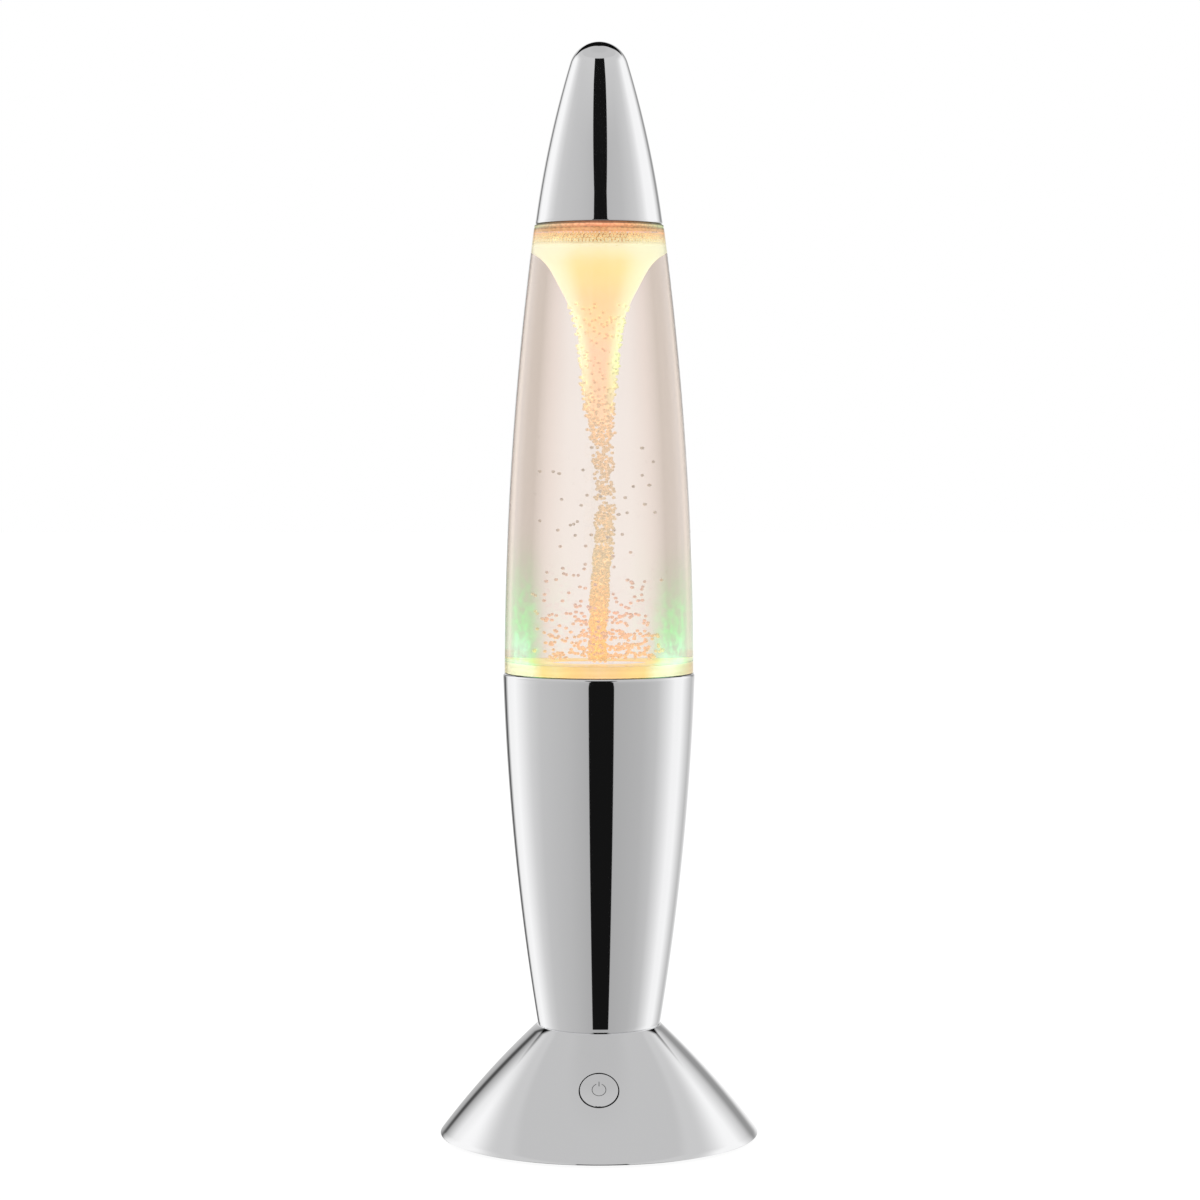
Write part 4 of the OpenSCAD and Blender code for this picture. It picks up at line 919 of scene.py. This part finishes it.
# How far the swirl's middle sways aside: height and distance
SWIRL_SWAY = (
    (149.0, -0.3), (155.0, -0.35), (167.0, 0.0), (176.0, 0.35), (184.0, 1.05),
    (196.5, 1.5), (208.0, 1.05), (217.0, 0.7), (223.0, 0.2), (232.0, 0.0),
)
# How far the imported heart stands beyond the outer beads' centres: height and distance
HEART_PROUD = (
    (CHAIN_LOW_Z, -0.6),
    (CHAIN_HIGH_Z, -0.3),
    (232.0, 0.25),
    (252.0, 0.3),
    (SMOOTH_LOW_Z, BEAD_R),
    (SMOOTH_HIGH_Z - 0.4, BEAD_R),
    (SMOOTH_HIGH_Z + 0.2, -0.25),
)


def read_along(line, z):
    """Value at a height on a line of (height, value) points."""
    if z <= line[0][0]:
        return line[0][1]
    for (low, first), (high, second) in zip(line, line[1:]):
        if z <= high:
            return first + (second - first) * (z - low) / (high - low)
    return line[-1][1]


def room_radius(z):
    """How far from the axis a bead's centre may lie."""
    return side_radius(BOTTLE_SIDE, z, BOTTLE_WALL) - 0.1 - BEAD_R


def swirl_radius(z):
    """How far from the swirl's middle its outer beads' centres lie."""
    return min(read_along(SWIRL_OUTLINE, z) - BEAD_R, room_radius(z))


def sway(z):
    """How far the swirl's middle lies aside at a height."""
    aside = read_along(SWIRL_SWAY, z)
    return Vector((aside, 0.4 * aside * math.cos(z / 7.5), 0.0))


def at(radius, angle, z):
    return Vector((radius * math.cos(angle), radius * math.sin(angle), z))


def beads(name, places):
    """Copies one bead to every place, as one piece."""
    deselect()
    bpy.ops.mesh.primitive_uv_sphere_add(segments=8, ring_count=4, radius=BEAD_R * MM)
    first = bpy.context.object
    first.name = name
    first.data.name = name
    bpy.ops.object.shade_smooth()
    first.location = places[0] * MM
    copies = []
    for place in places[1:]:
        copy = first.copy()
        copy.data = first.data.copy()
        copy.location = place * MM
        bpy.context.collection.objects.link(copy)
        copies.append(copy)
    join(first, copies)
    settle(first)
    return first


def funnel_places(rng):
    """Beads on the funnel's skin, a quarter of them standing proud."""
    places = []
    for _ in range(FUNNEL_DRAWS):
        z = CHAIN_HIGH_Z - 4.0 + (FUNNEL_MOUTH_Z - CHAIN_HIGH_Z + 4.0) * rng.random() ** 0.8
        stands_out = z < SMOOTH_LOW_Z and rng.random() < 0.25
        proud = rng.uniform(0.3, 0.9) if stands_out else -rng.uniform(0.0, 0.5)
        places.append(at(swirl_radius(z) + proud, rng.uniform(0, 2 * math.pi), z) + sway(z))
    return places


def column_places(rng):
    """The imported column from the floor, and over it a loose chain of beads up to the funnel."""
    places = []
    for _ in range(COLUMN_DRAWS):
        z = BEAD_LOW_Z + (CHAIN_LOW_Z + 3.0 - BEAD_LOW_Z) * rng.random() ** 1.05
        radius = swirl_radius(z) * math.sqrt(rng.uniform(0.4, 1.35))
        places.append(at(radius, rng.uniform(0, 2 * math.pi), z) + sway(z))
    for _ in range(CHAIN_DRAWS):
        z = rng.uniform(CHAIN_LOW_Z, CHAIN_HIGH_Z)
        loose = 0.5 + 0.3 * math.sin(z * 0.8) + 0.25 * math.sin(z * 0.31 + 2.0)
        if rng.random() < loose * 0.8:
            continue
        radius = (swirl_radius(z) + 0.4) * math.sqrt(rng.uniform(0.0, 1.0))
        places.append(at(radius, rng.uniform(0, 2 * math.pi), z) + sway(z))
    return places


def crowd_places(rng):
    """The crowd under the lid: rows of beads along the bottle's wall, with small gaps."""
    places = []
    z = BEAD_TOP_Z
    while z > SMOOTH_HIGH_Z - 0.8:
        around = int(2 * math.pi * room_radius(z) / BEAD_STEP)
        first = rng.random()
        for i in range(around):
            angle = 2 * math.pi * (i + first + rng.uniform(-0.14, 0.14)) / around
            height = min(BEAD_TOP_Z, z + rng.uniform(-0.16, 0.16))
            places.append(at(room_radius(height) - rng.uniform(0.0, 0.25), angle, height))
        z -= ROW_STEP
    return places


def drift_places(rng):
    """Loose beads: flat patches swept over the floor, and fewer and fewer above."""
    places = []
    for _ in range(DRIFT_DRAWS):
        z = BEAD_LOW_Z + rng.expovariate(1 / 22.0)
        if z < DRIFT_TOP_Z:
            places.append(at(rng.uniform(3.2, 16.5), rng.uniform(0, 2 * math.pi), z))
    for _ in range(PATCHES):
        height = min(42.0, rng.expovariate(1 / 9.0))
        radius = rng.uniform(3.8, 16.0)
        angle = rng.uniform(0, 2 * math.pi)
        most = 7 if height < 12.0 else 3
        for i in range(rng.randint(2, most)):
            swept = angle + i * rng.uniform(0.8, 1.5) / radius
            spot = at(radius + rng.gauss(0, 0.4), swept, BEAD_LOW_Z + height + rng.gauss(0, 0.25))
            spot.z = max(BEAD_LOW_Z, spot.z)
            places.append(spot)
    return places


def make_heart():
    """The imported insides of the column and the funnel, which fill the gaps between the outer beads."""
    lumps = []
    for low, high, steps in ((BEAD_LOW_Z, CHAIN_LOW_Z, 12), (CHAIN_HIGH_Z, BEAD_TOP_Z, 32)):
        outline = [(0.0, low)]
        for i in range(steps + 1):
            z = low + (high - low) * i / steps
            outline.append((swirl_radius(z) + read_along(HEART_PROUD, z), z))
        outline.append((0.0, high))
        lumps.append(turned("bead_heart", outline, steps=64))
    piece = lumps[0]
    join(piece, lumps[1:])
    for vertex in piece.data.vertices:
        vertex.co += sway(vertex.co.z / MM) * MM
    smooth(piece, 60)
    return piece


# The lamp

CHROME = chrome_plating()
ACRYLIC = clear_acrylic()
PACKED = glowing_beads("packed_beads", PACKED_STOPS, 0.55, 0.1)
CROWDED = glowing_beads("crowded_beads", PACKED_STOPS, 0.5, 0.15)
LOOSE = glowing_beads("loose_beads", LOOSE_STOPS, 0.6, 0.2)
HEART = glowing_beads("heart_of_beads", HEART_STOPS, 0.75, 0.06)

finish_piece(make_base(), CHROME, "stand", "chrome_plate", "base_shell")
finish_piece(make_cup(), CHROME, "stand", "chrome_plate", "cup")
finish_piece(make_cap(), CHROME, "cap", "chrome_plate", "top_cap")
finish_piece(make_button(), CHROME, "button", "chrome_plate", "power_button")
finish_piece(make_bottle(), ACRYLIC, "stand", "clear_acrylic", "bottle_shell")
finish_piece(make_bottle_base(), lit_floor(), "stand", "clear_acrylic", "bottle_floor")
finish_piece(make_lid(), lit_lid(), "stand", "milky_acrylic", "bottle_lid")
finish_piece(make_water(), lit_water(), "swirl", "water", "water")

BLACK_ABS = moulded("black_abs", "#26282B", "#1B1C1F", 0.5, 0.35, 0.02)
darken_key(BLACK_ABS)

seeded = random.Random(11)
finish_piece(beads("bead_funnel", funnel_places(seeded)), PACKED, "swirl", "beads", "funnel_beads")
finish_piece(beads("bead_crowd", crowd_places(seeded)), CROWDED, "swirl", "beads")
finish_piece(beads("bead_column", column_places(seeded)), PACKED, "swirl", "beads")
finish_piece(beads("bead_drift", drift_places(seeded)), LOOSE, "swirl", "beads", "loose_beads")
finish_piece(make_heart(), HEART, "swirl", "beads")

NITRILE = moulded("nitrile_rubber", "#232323", "#171717", 0.75, 0.5, 0.03, 1.52)
ACETAL = moulded("white_acetal", "#EDEBE4", "#E0DDD4", 0.35, 0.5, 0.01, 1.48)
GREEN_MASK = moulded("green_solder_mask", "#1E6B3C", "#14522D", 0.3, 1.2, 0.01)
WHITE_MASK = moulded("white_solder_mask", "#F1F1EE", "#E2E2DE", 0.3, 1.2, 0.01)
CHIP_EPOXY = moulded("chip_epoxy", "#232326", "#18181A", 0.4, 0.3, 0.01)
RED_PVC = moulded("red_pvc", "#B41E1A", "#9C1512", 0.35, 0.6, 0.01)
YELLOW_PVC = moulded("yellow_pvc", "#E6B325", "#D2A01B", 0.35, 0.6, 0.01)
CELL_SLEEVE = moulded("cell_sleeve", "#4C8C5A", "#3E7A4C", 0.25, 1.5, 0.01)
ZINC = bare_metal("zinc_plated_steel", "#C9CCCE", "#A7AAAD", 0.32, 0.4)
NICKEL = bare_metal("bright_nickel", "#D6D3CC", "#BDB9B1", 0.2, 0.4)
BRASS = bare_metal("tinned_brass", "#D8BC72", "#C2A45C", 0.25, 0.3)
MAGNET = bare_metal("nickel_plated_magnet", "#BFBDB8", "#A3A19C", 0.18, 0.6)
GREEN_LENS = glowing_lens("green_epoxy_lens", "#7CE8A0", "#35E86A")
AMBER_LENS = glowing_lens("amber_epoxy_lens", "#FFC766", "#FFA02E")

NODE_FINISHES = {
    BLACK_ABS: ("base_plate", "battery_door", "switch_body", "switch_plunger"),
    NITRILE: ("rubber_feet", "fill_plug"),
    ACETAL: ("motor_bracket", "magnet_carrier", "stirrer", "motor_end_bell"),
    GREEN_MASK: ("control_board", "switch_board"),
    WHITE_MASK: ("led_board",),
    CHIP_EPOXY: ("control_chips",),
    RED_PVC: ("battery_wires", "motor_wires"),
    YELLOW_PVC: ("switch_wires", "led_wires"),
    CELL_SLEEVE: ("battery_cells",),
    ZINC: (
        "switch_screws",
        "base_screws",
        "cup_screws",
        "control_screws",
        "motor_screws",
        "bracket_screws",
        "led_board_screws",
        "motor_can",
    ),
    NICKEL: ("door_pin", "pivot_pin", "motor_shaft", "contact_springs", "contact_plates"),
    BRASS: ("motor_terminals",),
    MAGNET: ("drive_magnets", "stirrer_magnets"),
    GREEN_LENS: ("green_leds",),
    AMBER_LENS: ("amber_leds",),
}
for finish, names in NODE_FINISHES.items():
    for node_name in names:
        mesh = CAD_NODES[node_name].data
        mesh.materials.clear()
        mesh.materials.append(finish)


# Studio


def make_floor():
    """A white sweep that glows nearly as bright as the backdrop."""
    deselect()
    bpy.ops.mesh.primitive_plane_add(size=12.0, location=(0, 0, 0))
    floor = bpy.context.object
    floor.name = "studio_floor"
    material, tree, _ = start_material("white_sweep")
    shader = add(tree, "BsdfPrincipled", inputs={
        "Base Color": hex_colour("#5E5E5E"),
        "Roughness": 0.9,
        "Emission Color": hex_colour("#FFFFFF"),
        "Emission Strength": 0.93,
    })
    floor.data.materials.append(end_material(material, tree, shader))
    floor.visible_glossy = False
    floor.visible_transmission = False


# The studio's white walls as the chrome mirrors them: degrees round from the lens, and grey level.
# LOW_WALLS lie below the lens's height, HIGH_WALLS above it
LOW_WALLS = (
    (-180, 250), (-170, 205), (-159, 150), (-156, 75), (-152, 75), (-148, 160),
    (-140, 245), (-119, 252), (-104, 235), (-89, 212), (-72, 196), (-35, 186),
    (0, 170), (30, 176), (55, 182), (75, 195), (90, 222), (105, 247),
    (120, 250), (135, 217), (148, 190), (160, 212), (170, 245), (180, 250),
)
HIGH_WALLS = (
    (-180, 245), (-169, 205), (-162, 175), (-160, 80), (-158, 55), (-156, 165),
    (-148, 238), (-141, 253), (-125, 252), (-112, 226), (-98, 205), (-80, 198),
    (-40, 192), (0, 182), (45, 190), (75, 206), (90, 226), (103, 250),
    (130, 252), (144, 205), (151, 150), (158, 152), (166, 200), (180, 245),
)
# What stands behind the bottle as its water bends it: degrees from straight behind, and colour
BACKDROP = (
    (0, "#F9F4F0"), (10, "#F5EFEA"), (17, "#E9DED7"), (25, "#CBC0B6"),
    (33, "#CBC0B6"), (42, "#DCD2CA"), (47, "#FBEEE2"), (90, "#FFF4E8"),
)


def make_studio():
    """A white tent: a dark card behind the lens, two darker gaps at the back and a grey roof."""
    world = bpy.data.worlds.new("light_tent")
    bpy.context.scene.world = world
    world.use_nodes = True
    tree = world.node_tree
    tree.nodes.clear()
    way = add(tree, "TexCoord").outputs["Generated"]
    x, y, z = add(tree, "SeparateXYZ", inputs={"Vector": way}).outputs
    front = add(tree, "Math", {"operation": "MULTIPLY"}, {0: y, 1: -1.0}).outputs[0]
    turn = add(tree, "Math", {"operation": "ARCTAN2"}, {0: x, 1: front}).outputs[0]
    round_turn = add(tree, "Math", {"operation": "ABSOLUTE"}, {0: turn}).outputs[0]

    # The gap at the left leans as it rises
    left = add(tree, "MapRange", inputs={
        "Value": turn, "From Min": 0.0, "From Max": math.radians(-60),
    }).outputs["Result"]
    lean = add(tree, "Math", {"operation": "MULTIPLY"}, {0: left, 1: z}).outputs[0]
    leaned = add(tree, "Math", {"operation": "MULTIPLY_ADD"}, {
        0: lean, 1: math.radians(-30), 2: turn,
    }).outputs[0]
    share = add(tree, "MapRange", inputs={
        "Value": leaned, "From Min": -math.pi, "From Max": math.pi,
    }).outputs["Result"]
    walls = []
    for stops in (LOW_WALLS, HIGH_WALLS):
        ramp = add(tree, "ValToRGB", inputs={"Fac": share})
        set_stops(ramp, [(degrees / 360 + 0.5, grey(level)) for degrees, level in stops])
        walls.append(ramp.outputs["Color"])

    # Each layer starts softly at one sine of elevation and is whole at the other
    mirror = walls[0]
    for start, whole, layer in (
        (-0.08, 0.1, walls[1]),
        (0.45, 0.66, hex_colour(grey(205))),
        (0.7, 0.76, hex_colour(grey(196))),
        (0.9, 0.98, hex_colour(grey(190))),
        (-0.78, -0.88, hex_colour(grey(90))),
    ):
        rise = add(tree, "MapRange", {"interpolation_type": "SMOOTHSTEP"}, {
            "Value": z, "From Min": start, "From Max": whole,
        })
        mirror = add(tree, "Mix", {"data_type": "RGBA"}, {
            "Factor": rise.outputs["Result"], "A": mirror, "B": layer,
        }).outputs["Result"]

    # The dark card behind the lens: wider below and at its top
    widths = []
    for start, whole, wider in ((0.2, -0.15, 2.8), (0.38, 0.6, 9.5)):
        rise = add(tree, "MapRange", inputs={
            "Value": z, "From Min": start, "From Max": whole, "To Max": math.radians(wider),
        })
        widths.append(rise.outputs["Result"])
    wider = add(tree, "Math", {"operation": "ADD"}, {0: widths[0], 1: widths[1]}).outputs[0]
    centred = add(tree, "Math", {"operation": "SUBTRACT"}, {0: turn, 1: math.radians(2.75)}).outputs[0]
    aside = add(tree, "Math", {"operation": "ABSOLUTE"}, {0: centred}).outputs[0]
    beyond = add(tree, "Math", {"operation": "SUBTRACT"}, {0: aside, 1: wider}).outputs[0]
    card = add(tree, "MapRange", inputs={
        "Value": beyond, "From Min": math.radians(12.8), "From Max": math.radians(12.2),
    }).outputs["Result"]
    card_top = add(tree, "MapRange", inputs={
        "Value": z, "From Min": 0.735, "From Max": 0.715,
    }).outputs["Result"]
    card_foot = add(tree, "MapRange", inputs={
        "Value": z, "From Min": -0.56, "From Max": -0.54,
    }).outputs["Result"]

    # The dark gap under the roof behind the lamp
    slope = add(tree, "Math", {"operation": "MULTIPLY_ADD"}, {0: z, 1: -0.28, 2: y}).outputs[0]
    off_middle = add(tree, "Math", {"operation": "ABSOLUTE"}, {0: x}).outputs[0]
    arched = add(tree, "Math", {"operation": "MULTIPLY_ADD"}, {
        0: off_middle, 1: -0.4, 2: slope,
    }).outputs[0]
    under_roof = add(tree, "MapRange", inputs={
        "Value": arched, "From Min": 0.03, "From Max": 0.05,
    }).outputs["Result"]
    over_wall = add(tree, "MapRange", inputs={
        "Value": z, "From Min": 0.46, "From Max": 0.5,
    }).outputs["Result"]
    behind = add(tree, "MapRange", inputs={
        "Value": round_turn, "From Min": math.radians(134), "From Max": math.radians(139),
    }).outputs["Result"]
    for masks, dark in (
        ((card, card_top, card_foot), grey(20)),
        ((under_roof, over_wall, behind), grey(14)),
    ):
        both = add(tree, "Math", {"operation": "MULTIPLY"}, {0: masks[0], 1: masks[1]}).outputs[0]
        mask = add(tree, "Math", {"operation": "MULTIPLY"}, {0: both, 1: masks[2]}).outputs[0]
        mirror = add(tree, "Mix", {"data_type": "RGBA"}, {
            "Factor": mask, "A": mirror, "B": hex_colour(dark),
        }).outputs["Result"]

    off_axis = add(tree, "MapRange", inputs={
        "Value": round_turn, "From Min": math.pi, "From Max": math.pi / 2,
    }).outputs["Result"]
    backdrop = add(tree, "ValToRGB", inputs={"Fac": off_axis})
    set_stops(backdrop, [(degrees / 90, code) for degrees, code in BACKDROP])

    # Low down and straight behind, the backdrop is brighter
    lower = add(tree, "MapRange", inputs={
        "Value": z, "From Min": -0.045, "From Max": -0.11,
    }).outputs["Result"]
    middle = add(tree, "MapRange", inputs={
        "Value": off_axis, "From Min": 0.27, "From Max": 0.15,
    }).outputs["Result"]
    brighter = add(tree, "Math", {"operation": "MULTIPLY"}, {0: lower, 1: middle}).outputs[0]
    behind_bottle = add(tree, "Mix", {"data_type": "RGBA"}, {
        "Factor": brighter, "A": backdrop.outputs["Color"], "B": hex_colour("#FFF8F0"),
    }).outputs["Result"]

    # The bottle shows the backdrop, and only what shines on its own outside shows the tent
    path = add(tree, "LightPath")
    outside = add(tree, "Math", {"operation": "LESS_THAN"}, {
        0: path.outputs["Transmission Depth"], 1: 0.5,
    }).outputs[0]
    shining = add(tree, "Math", {"operation": "MULTIPLY"}, {
        0: path.outputs["Is Glossy Ray"], 1: outside,
    }).outputs[0]
    white = hex_colour("#FFFFFF")
    seen = white
    for ray, layer in (
        (path.outputs["Is Transmission Ray"], behind_bottle),
        (shining, mirror),
        (path.outputs["Is Camera Ray"], white),
    ):
        seen = add(tree, "Mix", {"data_type": "RGBA"}, {
            "Factor": ray, "A": seen, "B": layer,
        }).outputs["Result"]
    light = add(tree, "Background", inputs={"Color": seen, "Strength": 1.0})
    add(tree, "OutputWorld", inputs={"Surface": light.outputs["Background"]})


def make_camera():
    """The photograph's view: upright, a metre away, a little above the lamp's middle."""
    data = bpy.data.cameras.new("view")
    camera = bpy.data.objects.new("view", data)
    bpy.context.scene.collection.objects.link(camera)
    data.lens = 100.2
    data.sensor_width = 36.0
    camera.location = (0.0003, -1.039, 0.2215)
    camera.rotation_euler = (math.radians(90 - 2.95), 0.0, 0.0)
    bpy.context.scene.camera = camera


make_floor()
make_studio()
make_camera()
bpy.context.scene.view_settings.view_transform = "Standard"
